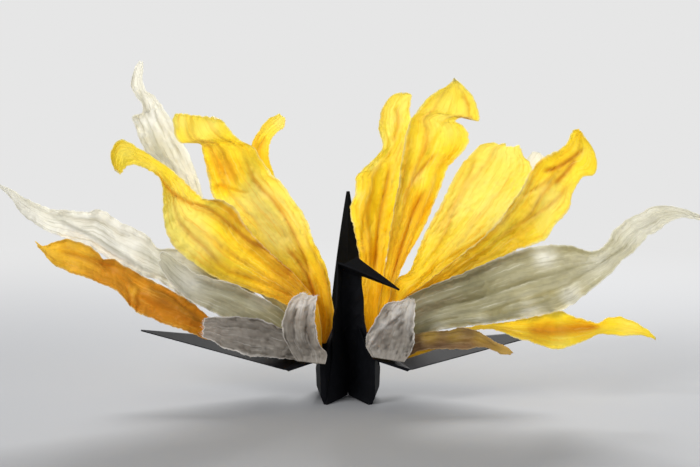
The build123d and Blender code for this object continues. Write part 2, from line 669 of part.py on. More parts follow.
def traced_length(petal):
    """Length of the petal's middle line in steps of the tracing grid."""
    middle = [((a + c) / 2, (b + d) / 2) for (a, b), (c, d) in zip(petal["upper_shares"], petal["lower_shares"])]
    return sum(dist(p, q) for p, q in zip(middle, middle[1:]))


def petal_spot(petal, stand, t, c):
    """A place on the middle of a petal, t along it and c across it from -1 to 1."""
    root = petal_root(petal, stand)
    step = petal["length"] / traced_length(petal)
    upper, lower = along_rib(petal["upper_shares"], t), along_rib(petal["lower_shares"], t)
    start_upper, start_lower = petal["upper_shares"][0], petal["lower_shares"][0]
    width = dist(upper, lower) * step
    full = min(width / petal_full_width, 1)
    swell = sin(pi * min(max(t, 0.03), 0.97)) ** 0.5
    behind = petal["length"] * along_rib(petal["depth_shares"], t)
    behind = behind + petal["bow"] * full * (0.5 - c * c) + petal["lean"] * swell * c / 2
    behind = behind + petal["pleat"] * full * swell * cos(pi * petal["pleats"] * c)
    near = 1 + (root.Y + behind) / view_distance
    across = (upper[0] * (1 + c) + lower[0] * (1 - c) - start_upper[0] - start_lower[0]) / 2
    down = (upper[1] * (1 + c) + lower[1] * (1 - c) - start_upper[1] - start_lower[1]) / 2
    lean = radians(view_elevation)
    return root + Vector(across * step * near, behind, (-down * step * near - behind * sin(lean)) / cos(lean))


def petal_normal(petal, stand, t, c):
    e = 0.02
    a = petal_spot(petal, stand, min(t + e, 1), c) - petal_spot(petal, stand, max(t - e, 0), c)
    b = petal_spot(petal, stand, t, min(c + e, 1)) - petal_spot(petal, stand, t, max(c - e, -1))
    return a.cross(b).normalized()


def row_places(petal, stand):
    """Where along the petal its rows are, each as far from the next on its middle line."""
    marks = petal_columns * petal_rows
    far = [0]
    for i in range(marks):
        step = petal_spot(petal, stand, (i + 1) / marks, 0) - petal_spot(petal, stand, i / marks, 0)
        far.append(far[-1] + step.length)
    places, i = [0], 0
    for r in range(1, petal_rows - 1):
        reach = far[-1] * r / (petal_rows - 1)
        while far[i + 1] < reach:
            i = i + 1
        places.append((i + (reach - far[i]) / (far[i + 1] - far[i])) / marks)
    return places + [1]


def petal_face(petal, stand, offset):
    """A smooth surface beside the petal's middle one, through a curve across it at each row."""
    sections = []
    for t in row_places(petal, stand):
        places = []
        for k in range(petal_columns):
            c = 2 * k / (petal_columns - 1) - 1
            places.append(petal_spot(petal, stand, t, c) + petal_normal(petal, stand, t, c) * offset)
        sections.append(Wire([Edge.make_spline(places)]))
    return Shell.make_loft(sections).faces()[0]


def petal_solid(petal, stand):
    """The petal: its two faces, closed by a ruled face along each of the four edges."""
    front = petal_face(petal, stand, petal_thickness / 2)
    behind = petal_face(petal, stand, -petal_thickness / 2)
    rims = []
    for edge in front.edges():
        mate = min(behind.edges(), key=lambda other: (other.center() - edge.center()).length)
        rims.append(Face.make_surface_from_curves(edge, mate))
    return Solid(Shell([front, behind] + rims))


def build():
    os.makedirs("parts", exist_ok=True)
    skin, nod, drop = crane()
    made = {"crane": solid_of(skin)}
    for name, petal in petals.items():
        made[name] = petal_solid(petal, (nod, drop))
    box = Compound(list(made.values())).bounding_box()
    middle = Pos(-(box.min.X + box.max.X) / 2, -(box.min.Y + box.max.Y) / 2, 0)
    print("nod", nod, "drop", drop, "box", box, "middle", middle.position)
    for name, solid in made.items():
        print(name, solid.is_valid, round(solid.volume, 2))
        export_step(middle * solid, "parts/" + name + ".step")


if __name__ == "__main__":
    build()
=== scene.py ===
import math

import bmesh
import bpy
import numpy as np
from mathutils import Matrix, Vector


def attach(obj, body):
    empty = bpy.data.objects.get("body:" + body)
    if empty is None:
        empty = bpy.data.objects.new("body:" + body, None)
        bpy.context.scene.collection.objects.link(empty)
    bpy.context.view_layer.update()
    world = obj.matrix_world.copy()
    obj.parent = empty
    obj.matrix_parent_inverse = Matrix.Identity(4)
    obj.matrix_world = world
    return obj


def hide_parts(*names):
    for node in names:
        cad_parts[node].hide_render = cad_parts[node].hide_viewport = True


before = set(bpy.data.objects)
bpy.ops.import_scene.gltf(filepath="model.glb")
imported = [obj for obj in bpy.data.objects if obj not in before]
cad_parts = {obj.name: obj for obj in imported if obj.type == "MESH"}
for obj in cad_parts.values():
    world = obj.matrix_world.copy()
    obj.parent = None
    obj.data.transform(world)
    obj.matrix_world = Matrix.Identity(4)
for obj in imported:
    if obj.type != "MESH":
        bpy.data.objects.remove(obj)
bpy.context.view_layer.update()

mm = 0.001
scene = bpy.context.scene
scene.view_settings.view_transform = "Standard"


def toLinear(hexColour):
    # an sRGB hex colour as the linear one that shaders take
    parts = [int(hexColour[i:i + 2], 16) / 255 for i in (1, 3, 5)]
    return tuple(p / 12.92 if p <= 0.04045 else ((p + 0.055) / 1.055) ** 2.4 for p in parts) + (1.0,)


# camera: where the reference picture was taken from
cameraSet = {
    "across": 0.64, "back": 552.6, "up": 117.6,  # mm from the foot of the crane
    "downTilt": 6.46,  # degrees below level
    "focal": 1671.6, "pictureWide": 700, "pictureTall": 467,  # pixels
    "sensor": 36,  # mm
    "near": 0.01, "far": 20,  # metres
}
pxPerMm = cameraSet["focal"] / cameraSet["back"]  # at the crane's middle

camData = bpy.data.cameras.new("camera")
camData.sensor_width = cameraSet["sensor"]
camData.lens = cameraSet["focal"] * cameraSet["sensor"] / cameraSet["pictureWide"]
camData.clip_start, camData.clip_end = cameraSet["near"], cameraSet["far"]
cam = bpy.data.objects.new("camera", camData)
scene.collection.objects.link(cam)
cam.location = (cameraSet["across"] * mm, -cameraSet["back"] * mm, cameraSet["up"] * mm)
cam.rotation_euler = (math.radians(90 - cameraSet["downTilt"]), 0, 0)
scene.camera = cam


def seenFrom(px, py, y):
    # the place in mm, y behind the crane's middle, that shows at px, py in the reference picture
    tilt = math.radians(cameraSet["downTilt"])
    right = (px - cameraSet["pictureWide"] / 2) / cameraSet["focal"]
    rise = (cameraSet["pictureTall"] / 2 - py) / cameraSet["focal"]
    away = np.cos(tilt) + rise * np.sin(tilt)
    reach = (y + cameraSet["back"]) / away
    return np.stack([cameraSet["across"] + right * reach, y,
                     cameraSet["up"] + (rise * np.cos(tilt) - np.sin(tilt)) * reach], axis=-1)


def addNode(tree, kind, settings=None, **links):
    # settings go to the node itself; links fill its inputs, by name, with a value or another node's output
    node = tree.nodes.new(kind)
    for key, value in (settings or {}).items():
        setattr(node, key, value)
    for key, value in links.items():
        spot = node.inputs[int(key[2:])] if key.startswith("at") else node.inputs[key.replace("_", " ")]
        if isinstance(value, bpy.types.NodeSocket):
            tree.links.new(value, spot)
        else:
            spot.default_value = value
    return node


def newMaterial(name):
    material = bpy.data.materials.new(name)
    material.use_nodes = True
    material.node_tree.nodes.clear()
    return material, material.node_tree


# dried petals: a thin waxy plant skin, matt and veined, that lets some light through
petalLook = {
    # patterns: mm across the petal, mm along it, detail, roughness
    "veinPattern": (0.95, 16, 3.0, 0.55),  # the long veins, coarser than life so that they show
    "patchPattern": (11, 22, 2.0, 0.5),  # patches of stronger colour
    "cellPattern": (0.5, 0.5, 2.0, 0.5),  # fine wrinkles of the skin
    "middleTone": 0.34, "tipTone": 0.62,  # where the petal has these colours, from base at 0 to bright at 1
    "patchShift": 0.36,  # how far patches spread the tone
    # colours laid over: where they start and are full, and how strong they are there. The first is painted
    # shade in folds and creases
    "paintedShade": (0.0, 1.0, 0.8), "vein": (0.52, 0.68, 0.42), "paintedVeinSheen": (0.44, 0.3, 0.5),
    "rim": (0.9, 0.99, 0.8),
    "relief": 0.3, "reliefStrength": 0.7, "cellShare": 0.35,  # mm, and how high wrinkles stand beside veins
    "roughness": 0.52, "ior": 1.42, "sheen": 0.15, "sheenRoughness": 0.5,
    "lightThrough": 0.52,  # share of the light that goes through the skin
    "glow": 0.4,  # how far the colour named through tints it
}


def petalMaterial(name, base, middle, tip, bright, paintedShade, vein, paintedVeinSheen, rim, dull, through):
    # veins run lengthwise, the colour deepens to the claw, rims are paler, and folds and creases get painted
    # shade
    material, tree = newMaterial(name)
    uv = addNode(tree, "ShaderNodeUVMap", {"uv_map": "laidFlat"}).outputs["UV"]
    tone, edge, paintedFoldShade = (addNode(tree, "ShaderNodeAttribute", {"attribute_name": key}).outputs["Fac"]
                        for key in ("tone", "edge", "paintedFoldShade"))
    patterns = []
    for key in ("veinPattern", "patchPattern", "cellPattern"):
        across, along, detail, roughness = petalLook[key]
        place = addNode(tree, "ShaderNodeMapping", None, Vector=uv,
                        Scale=(1 / (across * mm), 1 / (along * mm), 1))
        patterns.append(addNode(tree, "ShaderNodeTexNoise", None, Vector=place.outputs["Vector"], Scale=1.0,
                                Detail=detail, Roughness=roughness).outputs["Fac"])
    veins, patches, cells = patterns
    shift = addNode(tree, "ShaderNodeMath", {"operation": "MULTIPLY_ADD"}, at0=patches,
                    at1=petalLook["patchShift"], at2=-petalLook["patchShift"] / 2)
    tone = addNode(tree, "ShaderNodeMath", {"operation": "ADD"}, at0=tone, at1=shift.outputs[0])
    ramp = addNode(tree, "ShaderNodeValToRGB", None, Fac=tone.outputs[0])
    stops = ramp.color_ramp.elements
    stops.new(petalLook["middleTone"])
    stops.new(petalLook["tipTone"])
    for stop, colour in zip(stops, (base, middle, tip, bright)):
        stop.color = toLinear(colour)
    body = ramp.outputs["Color"]
    # the silver laid where the vein pattern is low is a painted highlight
    for key, value, colour in (("paintedShade", paintedFoldShade, paintedShade), ("vein", veins, vein), ("paintedVeinSheen", veins, paintedVeinSheen),
                               ("rim", edge, rim)):
        start, full, most = petalLook[key]
        share = addNode(tree, "ShaderNodeMapRange", None, Value=value, From_Min=start, From_Max=full,
                        To_Min=0.0, To_Max=most).outputs["Result"]
        body = addNode(tree, "ShaderNodeMix", {"data_type": "RGBA"}, at0=share, at6=body,
                       at7=toLinear(colour)).outputs[2]
    outside, glow = (addNode(tree, "ShaderNodeMix", {"data_type": "RGBA", "blend_type": "MULTIPLY"},
                             at0=share, at6=body, at7=toLinear(colour)).outputs[2]
                     for share, colour in ((1.0, dull), (petalLook["glow"], through)))
    height = addNode(tree, "ShaderNodeMath", {"operation": "MULTIPLY_ADD"}, at0=cells,
                     at1=petalLook["cellShare"], at2=veins).outputs[0]
    bump = addNode(tree, "ShaderNodeBump", None, Strength=petalLook["reliefStrength"],
                   Distance=petalLook["relief"] * mm, Height=height).outputs["Normal"]
    skin = addNode(tree, "ShaderNodeBsdfPrincipled", None, Base_Color=outside, Normal=bump,
                   Roughness=petalLook["roughness"], IOR=petalLook["ior"], Sheen_Weight=petalLook["sheen"],
                   Sheen_Roughness=petalLook["sheenRoughness"])
    lit = addNode(tree, "ShaderNodeBsdfTranslucent", None, Color=glow, Normal=bump)
    both = addNode(tree, "ShaderNodeMixShader", None, Fac=petalLook["lightThrough"],
                   at1=skin.outputs["BSDF"], at2=lit.outputs["BSDF"])
    addNode(tree, "ShaderNodeOutputMaterial", None, Surface=both.outputs["Shader"])
    return material


skins = {
    "yellow": petalMaterial(
        "driedYellowPetal", base="#FDD22C", middle="#FFE540", tip="#FFF254",
        bright="#FFF9A0", paintedShade="#D6961A", vein="#F6C42A", paintedVeinSheen="#FFF8A4",
        rim="#FFFCDC", dull="#FFF8E2", through="#FFFAC4"),
    "amber": petalMaterial(
        "driedAmberPetal", base="#DDA424", middle="#E6B430", tip="#F8DA4C",
        bright="#FCEA88", paintedShade="#C0881A", vein="#D09824", paintedVeinSheen="#F6D464",
        rim="#FBEBB4", dull="#FFF6DE", through="#FFF4B4"),
    # the olive of its base, where the tones are low, is partly the petal's own colour and partly painted
    # shade
    "pale": petalMaterial(
        "driedIvoryPetal", base="#B5AF88", middle="#D2CDAF", tip="#EDEBDF",
        bright="#F8F7F3", paintedShade="#9A9472", vein="#A9A383", paintedVeinSheen="#FBFAF0",
        rim="#FFFFFC", dull="#FFFFFF", through="#FFFBE8"),
    "claw": petalMaterial(
        "tornPetalClaw", base="#A29A8F", middle="#C2BBB0", tip="#DEDAD3",
        bright="#F9F8F5", paintedShade="#8A8076", vein="#9A9087", paintedVeinSheen="#F4F2EC",
        rim="#FAF8F4", dull="#FFFFFF", through="#FFF6EE"),
    "blush": petalMaterial(
        "driedBlushPetal", base="#8E7350", middle="#A1865F", tip="#C2AA56",
        bright="#DCC878", paintedShade="#6C563E", vein="#7A6146", paintedVeinSheen="#D8C69A",
        rim="#D8C69C", dull="#FFF4EC", through="#FFE4B8"),
}
print("petal materials ready")

# black paper: uncoated craft paper dyed through, matt with a grey bloom at a low angle
paperLook = {
    "colour": "#05060A", "worn": "#14151B",
    # mm across, detail, roughness, then where the worn tone starts and is full, and how strong it is there
    "fleck": (2.2, 3.0, 0.6, 0.5, 0.75, 0.5), "fibre": (0.35, 4.0, 0.65, 0.6, 0.75, 0.35),
    "relief": 0.06, "reliefStrength": 0.35,  # mm
    "roughness": 0.72, "ior": 1.45, "specular": 0.15,
}


def blackPaperMaterial():
    material, tree = newMaterial("blackCraftPaper")
    place = addNode(tree, "ShaderNodeTexCoord").outputs["Object"]
    colour = toLinear(paperLook["colour"])
    for key in ("fleck", "fibre"):
        across, detail, roughness, start, full, most = paperLook[key]
        grain = addNode(tree, "ShaderNodeTexNoise", None, Vector=place, Scale=1 / (across * mm),
                        Detail=detail, Roughness=roughness).outputs["Fac"]
        share = addNode(tree, "ShaderNodeMapRange", None, Value=grain, From_Min=start, From_Max=full,
                        To_Min=0.0, To_Max=most).outputs["Result"]
        colour = addNode(tree, "ShaderNodeMix", {"data_type": "RGBA"}, at0=share, at6=colour,
                         at7=toLinear(paperLook["worn"])).outputs[2]
    # the fibres, laid last, also stand a little out of the sheet
    bump = addNode(tree, "ShaderNodeBump", None, Strength=paperLook["reliefStrength"],
                   Distance=paperLook["relief"] * mm, Height=grain).outputs["Normal"]
    skin = addNode(tree, "ShaderNodeBsdfPrincipled", None, Base_Color=colour, Normal=bump,
                   Roughness=paperLook["roughness"], IOR=paperLook["ior"],
                   Specular_IOR_Level=paperLook["specular"])
    addNode(tree, "ShaderNodeOutputMaterial", None, Surface=skin.outputs["BSDF"])
    return material


# the folded sheet as cut, with its head held a little higher and the top of its neck a little to the left
headSet = {
    "pivot": (-0.03, -7.74, 44.53),  # mm, where the fold of the head meets the spine of the neck
    "along": (0.602, -0.732, -0.318), "up": (0, -0.145, 0.989),  # ways of the head and of the neck
    "front": (2, 5), "high": (28, 33),  # mm forward and up, between which neck and head set in
    "raise": 8.3, "turn": (1.0, 7.0),  # degrees, built up between two distances in mm beyond the fold
    "tip": (0, 26),  # mm along the head, between which the sway and the slimming fade out
    "sway": -2.4, "swayHigh": (14, 30),  # mm to the side, built up between two heights
    "slim": 0.14, "slimEdge": -5,  # how much narrower the neck is, as a share, and the side in mm that stays
    "slimFrom": (14, 24), "slimTo": (36, 44),  # mm, the heights between which it sets in and fades out
}


def easedStep(low, high, value):
    # 0 below low and 1 above high, with a soft start and end
    share = np.clip((value - low) / (high - low), 0, 1)
    return share * share * (3 - 2 * share)


def foldedCrane():
    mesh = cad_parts["crane"].data.copy()
    spots = np.empty(len(mesh.vertices) * 3)
    mesh.vertices.foreach_get("co", spots)
    place = np.array(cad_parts["crane"].matrix_world)
    spots = (spots.reshape(-1, 3) @ place[:3, :3].T + place[:3, 3]) / mm
    pivot, along, up = (np.array(headSet[key]) for key in ("pivot", "along", "up"))
    offset = spots - pivot
    fore = easedStep(*headSet["front"], -spots[:, 1]) * easedStep(*headSet["high"], spots[:, 2])
    beyond = offset @ (along + up) / np.linalg.norm(along + up)
    axis = np.cross(along, up) / np.linalg.norm(np.cross(along, up))
    angle = np.radians(headSet["raise"]) * (fore * easedStep(*headSet["turn"], beyond))[:, None]
    level = (offset @ axis)[:, None] * axis
    turned = level + (offset - level) * np.cos(angle) + np.cross(axis, offset - level) * np.sin(angle)
    spots = pivot + turned
    far = easedStep(*headSet["tip"], offset @ along) * fore
    neck = easedStep(*headSet["front"], -spots[:, 1]) * (1 - far)
    spots[:, 0] += headSet["sway"] * neck * easedStep(*headSet["swayHigh"], spots[:, 2])
    slim = easedStep(*headSet["slimFrom"], spots[:, 2]) * (1 - easedStep(*headSet["slimTo"], spots[:, 2]))
    spots[:, 0] -= headSet["slim"] * neck * slim * (spots[:, 0] - headSet["slimEdge"])
    mesh.vertices.foreach_set("co", (spots * mm).reshape(-1).astype(np.float32))
    mesh.materials.clear()
    mesh.materials.append(blackPaperMaterial())
    mesh.update()
    crane = bpy.data.objects.new("foldedCrane", mesh)
    scene.collection.objects.link(crane)
    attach(crane, "root")
    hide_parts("crane")


foldedCrane()
print("crane paper ready")

# petals, each by its name.  edges: (upper x, y, lower x, y) across it, claw to tip, in the reference picture.
# depths: mm behind the crane's middle line, claw to tip.  bow: mm that the middle stands back of the edges.
# lean: mm that the upper edge stands back of the lower.  folds, crumple: mm deep.  curl: mm that each rim
# rolls forward.  torn: mm that the end is ragged.  papery: how strong the fine crinkles are, 1 if not given.
# tones: claw to tip, from the skin's base at 0 to bright at 1.  seed: what its random forms start from.
# creases: (kind, mm forward, mm wide, how dark the painted shade in it is, places along it); the raised side
# of a lip is on the left hand.
# patches of tone: (x, y, reach, tone) where the colour is paler or, below zero, deeper; some are the petal's
# own colour, the rest painted highlights and painted shade.
petals = {
    "leftPaleLong": {
        "node": "petal_left_pale_long", "skin": "pale", "seed": 11, "bow": 1.6, "lean": 1.5, "folds": 0.9,
        "crumple": 0.7, "curl": (0.8, 0.5),
        "depths": (-6.0, -7.2, -8.3, -8.9, -9.4, -10.1, -11.1, -12.6, -15.5),
        "tones": (0.1, 0.35, 0.75, 0.95, 0.85),
        "creases": (
            ("lip", 0.9, 1.6, 0.3, (150, 272), (122, 258), (95, 240), (66, 226), (40, 212)),
            ("ridge", 0.8, 0.9, 0, (235, 296), (205, 276), (170, 262), (140, 250)),
            ("ridge", 0.6, 0.7, 0, (170, 286), (140, 268), (110, 250), (80, 232), (50, 214))),
        "blooms": ((110, 240, 30, 0.35), (170, 268, 22, 0.1), (230, 300, 30, -0.3)),
        "edges": ((307, 340, 299, 352), (290, 322, 277, 340), (270, 305, 255, 330), (250, 290, 235, 322),
            (232, 277, 218, 312), (212, 264, 203, 306), (195, 254, 188, 301), (177, 249, 173, 290),
            (158, 248, 158, 280), (148, 236, 143, 276), (134, 228, 127, 268), (118, 221, 110, 260),
            (101, 210, 94, 248), (85, 212, 77, 242), (68, 210, 60, 236), (52, 209, 44, 230),
            (38, 204, 30, 220), (26, 199, 19, 210), (14, 191, 11, 199), (2, 185, 2, 190),
            (-7, 181, -7, 184))},
    "leftPaleLow": {
        "node": "petal_left_pale_low", "skin": "pale", "seed": 12, "bow": 0.8, "lean": 0.6, "folds": 0.4,
        "crumple": 0.35, "curl": (0.6, 0.4),
        "depths": (-14.0, -14.6, -15.2, -15.7, -16.3),
        "tones": (0.05, 0.15, 0.2, 0.45, 0.6),
        "creases": (
            ("ridge", 0.9, 0.7, 0, (200, 272), (228, 281), (244, 288), (259, 295), (274, 302), (288, 312)),
            ("ridge", 0.6, 0.7, 0, (176, 272), (208, 292), (240, 302), (270, 316), (292, 338)),
            ("ridge", -0.8, 0.9, 0.6, (190, 276), (216, 288), (246, 298), (276, 316))),
        "blooms": ((190, 280, 18, 0.25), (225, 296, 22, 0.1), (262, 300, 16, 0.35), (285, 335, 18, -0.15)),
        "edges": ((305, 349, 299, 360), (296, 328, 285, 350), (284, 312, 268, 340), (268, 301, 250, 330),
            (252, 293, 233, 322), (238, 286, 220, 316), (224, 281, 207, 309), (210, 278, 196, 304),
            (196, 273, 186, 298), (183, 265, 177, 290), (172, 256, 168, 280), (163, 251, 161, 268),
            (160, 253, 159, 262))},
    "leftLowClaw": {
        "node": "petal_left_low_claw", "skin": "claw", "seed": 13, "torn": 0.5, "papery": 2.0, "bow": 1.2,
        "lean": 1.0, "folds": 0.7, "crumple": 0.6, "curl": (0.5, 0.6),
        "depths": (-19.9, -19.3, -19.0, -18.9, -18.9),
        "tones": (0.1, 0.0, 0.0, 0.1, 0.3),
        "creases": (
            ("lip", 0.9, 1.4, 0.5, (310, 352), (285, 346), (255, 344), (225, 334)),
            ("ridge", 0.6, 0.7, 0, (300, 342), (270, 331), (240, 325), (212, 326)),
            ("ridge", -0.5, 0.8, 0.5, (250, 350), (235, 338), (214, 334))),
        "blooms": ((235, 330, 16, 0.1), (275, 345, 20, 0.2)),
        "edges": ((322, 350, 318, 364), (308, 342, 303, 361), (295, 335, 290, 359), (281, 328, 277, 358),
            (267, 322, 263, 357), (253, 318, 249, 356), (238, 317, 235, 351), (224, 317, 222, 347),
            (213, 317, 212, 341), (204, 318, 203, 337))},
    "leftTornClaw": {
        "node": "petal_left_torn_claw", "skin": "claw", "seed": 14, "torn": 0.5, "papery": 2.2, "bow": 1.4,
        "lean": 0.2, "folds": 1.0, "crumple": 0.6, "curl": (0.6, 0.6),
        "depths": (-23.0, -22.9, -22.8, -22.7, -22.7),
        "tones": (0.3, 0.2, 0.35, 0.6, 1.0),
        "creases": (
            ("ridge", 1.0, 0.8, 0, (303, 298), (300, 322), (304, 352)),
            ("ridge", -0.8, 0.7, 0.7, (309, 300), (307, 325), (312, 352)),
            ("ridge", 0.8, 0.7, 0, (314, 300), (312, 322), (318, 350)),
            ("ridge", -0.7, 0.6, 0.6, (297, 304), (293, 326), (297, 352))),
        "blooms": ((303, 302, 12, 0.5), (300, 345, 14, -0.15)),
        "edges": ((325, 364, 297, 361), (327, 354, 290, 350), (320, 346, 285, 340), (317, 334, 282, 328),
            (315, 322, 284, 316), (315, 312, 288, 306), (316, 303, 292, 298), (316, 297, 299, 293))},
    "leftYellowFront": {
        "node": "petal_left_yellow_front", "skin": "yellow", "seed": 15, "bow": 1.8, "lean": 0.6,
        "folds": 1.2, "crumple": 0.5, "curl": (0.9, 0.7),
        "depths": (-8.5, -9.0, -9.4, -10.2, -11.2, -12.0, -13.1, -14.5, -17.5),
        "tones": (0.05, 0.3, 0.62, 0.8, 0.5),
        "creases": (
            ("lip", 1.7, 2.2, 0.75, (150, 166), (160, 174), (171, 188), (189, 199), (211, 207), (234, 224),
             (252, 239), (274, 250), (292, 271), (301, 288)),
            ("ridge", -0.9, 0.8, 0.5, (176, 170), (190, 186), (208, 197), (228, 210), (246, 228),
             (270, 246)),
            ("ridge", 0.7, 0.9, 0, (170, 205), (190, 240), (222, 262), (258, 282), (290, 302)),
            ("ridge", -0.5, 0.9, 0.3, (186, 216), (214, 244), (248, 266), (284, 292))),
        "blooms": ((182, 232, 26, 0.55), (205, 252, 24, 0.2), (200, 196, 14, -0.19), (232, 216, 16, -0.28),
            (262, 242, 16, -0.31), (288, 266, 16, -0.31), (165, 176, 12, -0.15), (124, 150, 12, 0.2),
            (250, 274, 16, 0.15), (290, 300, 14, -0.15)),
        "edges": ((322, 350, 309, 352), (321, 325, 304, 330), (316, 302, 297, 313), (305, 286, 283, 303),
            (290, 270, 263, 295), (272, 254, 242, 287), (255, 237, 219, 279), (243, 222, 202, 269),
            (235, 208, 187, 258), (222, 200, 174, 247), (205, 199, 166, 230), (194, 191, 163, 212),
            (184, 181, 163, 196), (172, 170, 161, 181), (157, 160, 152, 172), (143, 151, 142, 167),
            (131, 143, 133, 165), (120, 140, 127, 166), (112, 148, 124, 169), (111, 160, 122, 172),
            (115, 170, 120, 174))},
    "leftYellowMiddle": {
        "node": "petal_left_yellow_middle", "skin": "yellow", "seed": 16, "torn": 0.45, "bow": 1.6,
        "lean": 0.0, "folds": 1.2, "crumple": 0.5, "curl": (0.8, 0.8),
        "depths": (-3.5, -3.9, -4.4, -4.8, -5.3, -5.6, -6.1, -7.5, -11.0),
        "tones": (0.0, 0.5, 0.85, 0.6, 0.75),
        "creases": (
            ("lip", 1.2, 1.8, 0.5, (196, 143), (210, 144), (218, 155), (226, 170), (238, 184)),
            ("ridge", 1.1, 0.9, 0, (234, 136), (246, 168), (266, 186), (285, 206), (298, 228), (309, 252),
             (319, 285)),
            ("ridge", -1.0, 0.8, 0.6, (240, 150), (256, 182), (276, 203), (292, 230), (306, 262),
             (314, 300)),
            ("lip", 1.0, 1.4, 0.4, (212, 185), (222, 183), (236, 188), (252, 192)),
            ("ridge", -1.1, 0.8, 0.8, (284, 244), (300, 264), (311, 284), (316, 312)),
            ("ridge", 0.6, 0.8, 0, (262, 196), (282, 230), (300, 262))),
        "blooms": ((226, 166, 15, -0.34), (232, 180, 12, -0.22), (198, 133, 14, 0.15), (178, 121, 8, 0.35),
            (222, 190, 6, -0.31), (262, 205, 26, 0.35), (280, 236, 18, 0.25), (212, 124, 12, 0.3),
            (308, 282, 16, -0.1), (318, 318, 18, -0.05)),
        "edges": ((326, 343, 312, 345), (334, 320, 309, 325), (331, 292, 303, 300), (327, 270, 293, 282),
            (319, 252, 278, 264), (312, 238, 262, 247), (309, 226, 248, 233), (303, 213, 235, 220),
            (294, 201, 223, 209), (284, 186, 213, 196), (271, 173, 209, 182), (263, 162, 206, 168),
            (253, 147, 203, 153), (243, 142, 200, 144), (236, 137, 189, 143), (230, 130, 179, 142),
            (224, 122, 174, 131), (219, 118, 173, 119), (216, 118, 175, 113))},
    "leftYellowBack": {
        "node": "petal_left_yellow_back", "skin": "yellow", "seed": 17, "bow": 1.2, "lean": 0.0,
        "folds": 0.6, "crumple": 0.31, "curl": (0.6, 0.6),
        "depths": (3.0, 3.8, 4.6, 5.4, 6.2, 7.0, 7.8, 9.5, 13.0),
        "tones": (0.0, 0.5, 0.7, 0.6, 0.75),
        "creases": (
            ("ridge", 0.8, 0.8, 0, (276, 136), (266, 150), (270, 176), (284, 206)),
            ("ridge", -0.7, 0.8, 0.5, (268, 134), (258, 152), (264, 180))),
        "blooms": ((262, 148, 12, -0.19), (282, 122, 8, 0.3)),
        "edges": ((325, 340, 312, 342), (323, 300, 303, 306), (315, 260, 290, 270), (303, 226, 277, 235),
            (289, 203, 268, 207), (278, 183, 260, 182), (271, 166, 254, 164), (269, 152, 251, 149),
            (271, 142, 255, 137), (276, 133, 262, 126), (284, 127, 270, 118), (285, 118, 279, 114))},
    "leftPaleTall": {
        "node": "petal_left_pale_tall", "skin": "pale", "seed": 18, "bow": 1.4, "lean": 0.0, "folds": 0.7,
        "crumple": 0.6, "curl": (0.6, 0.6),
        "depths": (8.5, 9.6, 10.8, 12.2, 13.6, 14.7, 15.8, 17.6, 21.0),
        "tones": (0.3, 0.5, 0.7, 0.85, 0.95),
        "creases": (
            ("lip", 1.2, 1.4, 0.35, (150, 118), (152, 132), (158, 146), (170, 166)),
            ("ridge", 0.9, 0.8, 0, (148, 104), (160, 124), (176, 150), (192, 182)),
            ("ridge", -0.6, 0.8, 0.4, (138, 88), (146, 106), (152, 120))),
        "blooms": ((146, 112, 12, 0.2), (160, 148, 12, -0.2), (188, 178, 16, 0.1)),
        "edges": ((322, 338, 310, 340), (300, 300, 280, 312), (275, 262, 245, 278), (250, 234, 215, 245),
            (225, 214, 190, 215), (206, 202, 172, 185), (199, 182, 158, 163), (190, 157, 146, 152),
            (182, 141, 139, 138), (174, 125, 135, 125), (167, 114, 132, 116), (161, 104, 142, 113),
            (155, 97, 141, 103), (147, 91, 135, 95), (143, 84, 131, 86), (143, 75, 132, 76),
            (143, 68, 135, 68), (143, 62, 139, 61))},
    "leftYellowLow": {
        "node": "petal_left_yellow_low", "skin": "amber", "seed": 19, "bow": 1.6, "lean": 2.5, "folds": 0.8,
        "crumple": 0.5, "curl": (0.8, 0.9),
        "depths": (-10.7, -11.8, -12.8, -13.6, -14.2, -14.7, -15.2, -15.8, -16.9),
        "tones": (0.1, 0.15, 0.2, 0.35, 0.75),
        "creases": (
            ("lip", 1.4, 1.6, 0.9, (206, 328), (186, 312), (168, 298), (152, 292), (146, 286)),
            ("lip", 1.2, 1.2, 0.8, (126, 284), (131, 296), (132, 308)),
            ("ridge", 1.0, 0.8, 0, (138, 286), (134, 298), (138, 308)),
            ("ridge", -0.9, 0.9, 0.7, (120, 272), (100, 264), (78, 256), (58, 252)),
            ("ridge", 0.8, 0.8, 0, (116, 264), (96, 257), (72, 250), (50, 247)),
            ("ridge", -0.4, 3.5, 0.9, (206, 334), (186, 318), (166, 304), (146, 296))),
        "blooms": ((172, 312, 18, -0.31), (150, 300, 14, -0.19), (196, 318, 12, -0.12), (84, 250, 22, 0.2),
            (134, 292, 8, 0.3)),
        "edges": ((297, 348, 290, 357), (275, 341, 266, 353), (252, 336, 243, 348), (231, 328, 222, 344),
            (212, 319, 203, 338), (196, 306, 186, 331), (181, 296, 168, 325), (165, 287, 151, 318),
            (147, 278, 137, 312), (128, 268, 127, 302), (113, 259, 117, 291), (103, 259, 104, 285),
            (95, 250, 92, 280), (82, 243, 78, 275), (66, 239, 64, 270), (53, 243, 52, 263),
            (44, 246, 44, 253), (36, 242, 38, 247))},
    "rightPaleLong": {
        "node": "petal_right_pale_long", "skin": "pale", "seed": 21, "bow": 1.6, "lean": 0.8, "folds": 1.1,
        "crumple": 0.8, "curl": (0.8, 0.6),
        "depths": (-11.5, -12.2, -12.9, -13.3, -13.6, -14.0, -14.6, -16.2, -19.5),
        "tones": (0.2, 0.12, 0.3, 0.5, 0.8),
        "creases": (
            ("ridge", 1.0, 0.7, 0, (404, 330), (440, 318), (478, 312), (518, 298), (556, 287), (594, 270)),
            ("ridge", 0.9, 0.7, 0, (412, 312), (448, 296), (484, 282), (520, 268), (556, 262)),
            ("ridge", -0.8, 0.8, 0.5, (410, 320), (446, 306), (486, 296), (524, 282), (560, 272),
             (596, 260)),
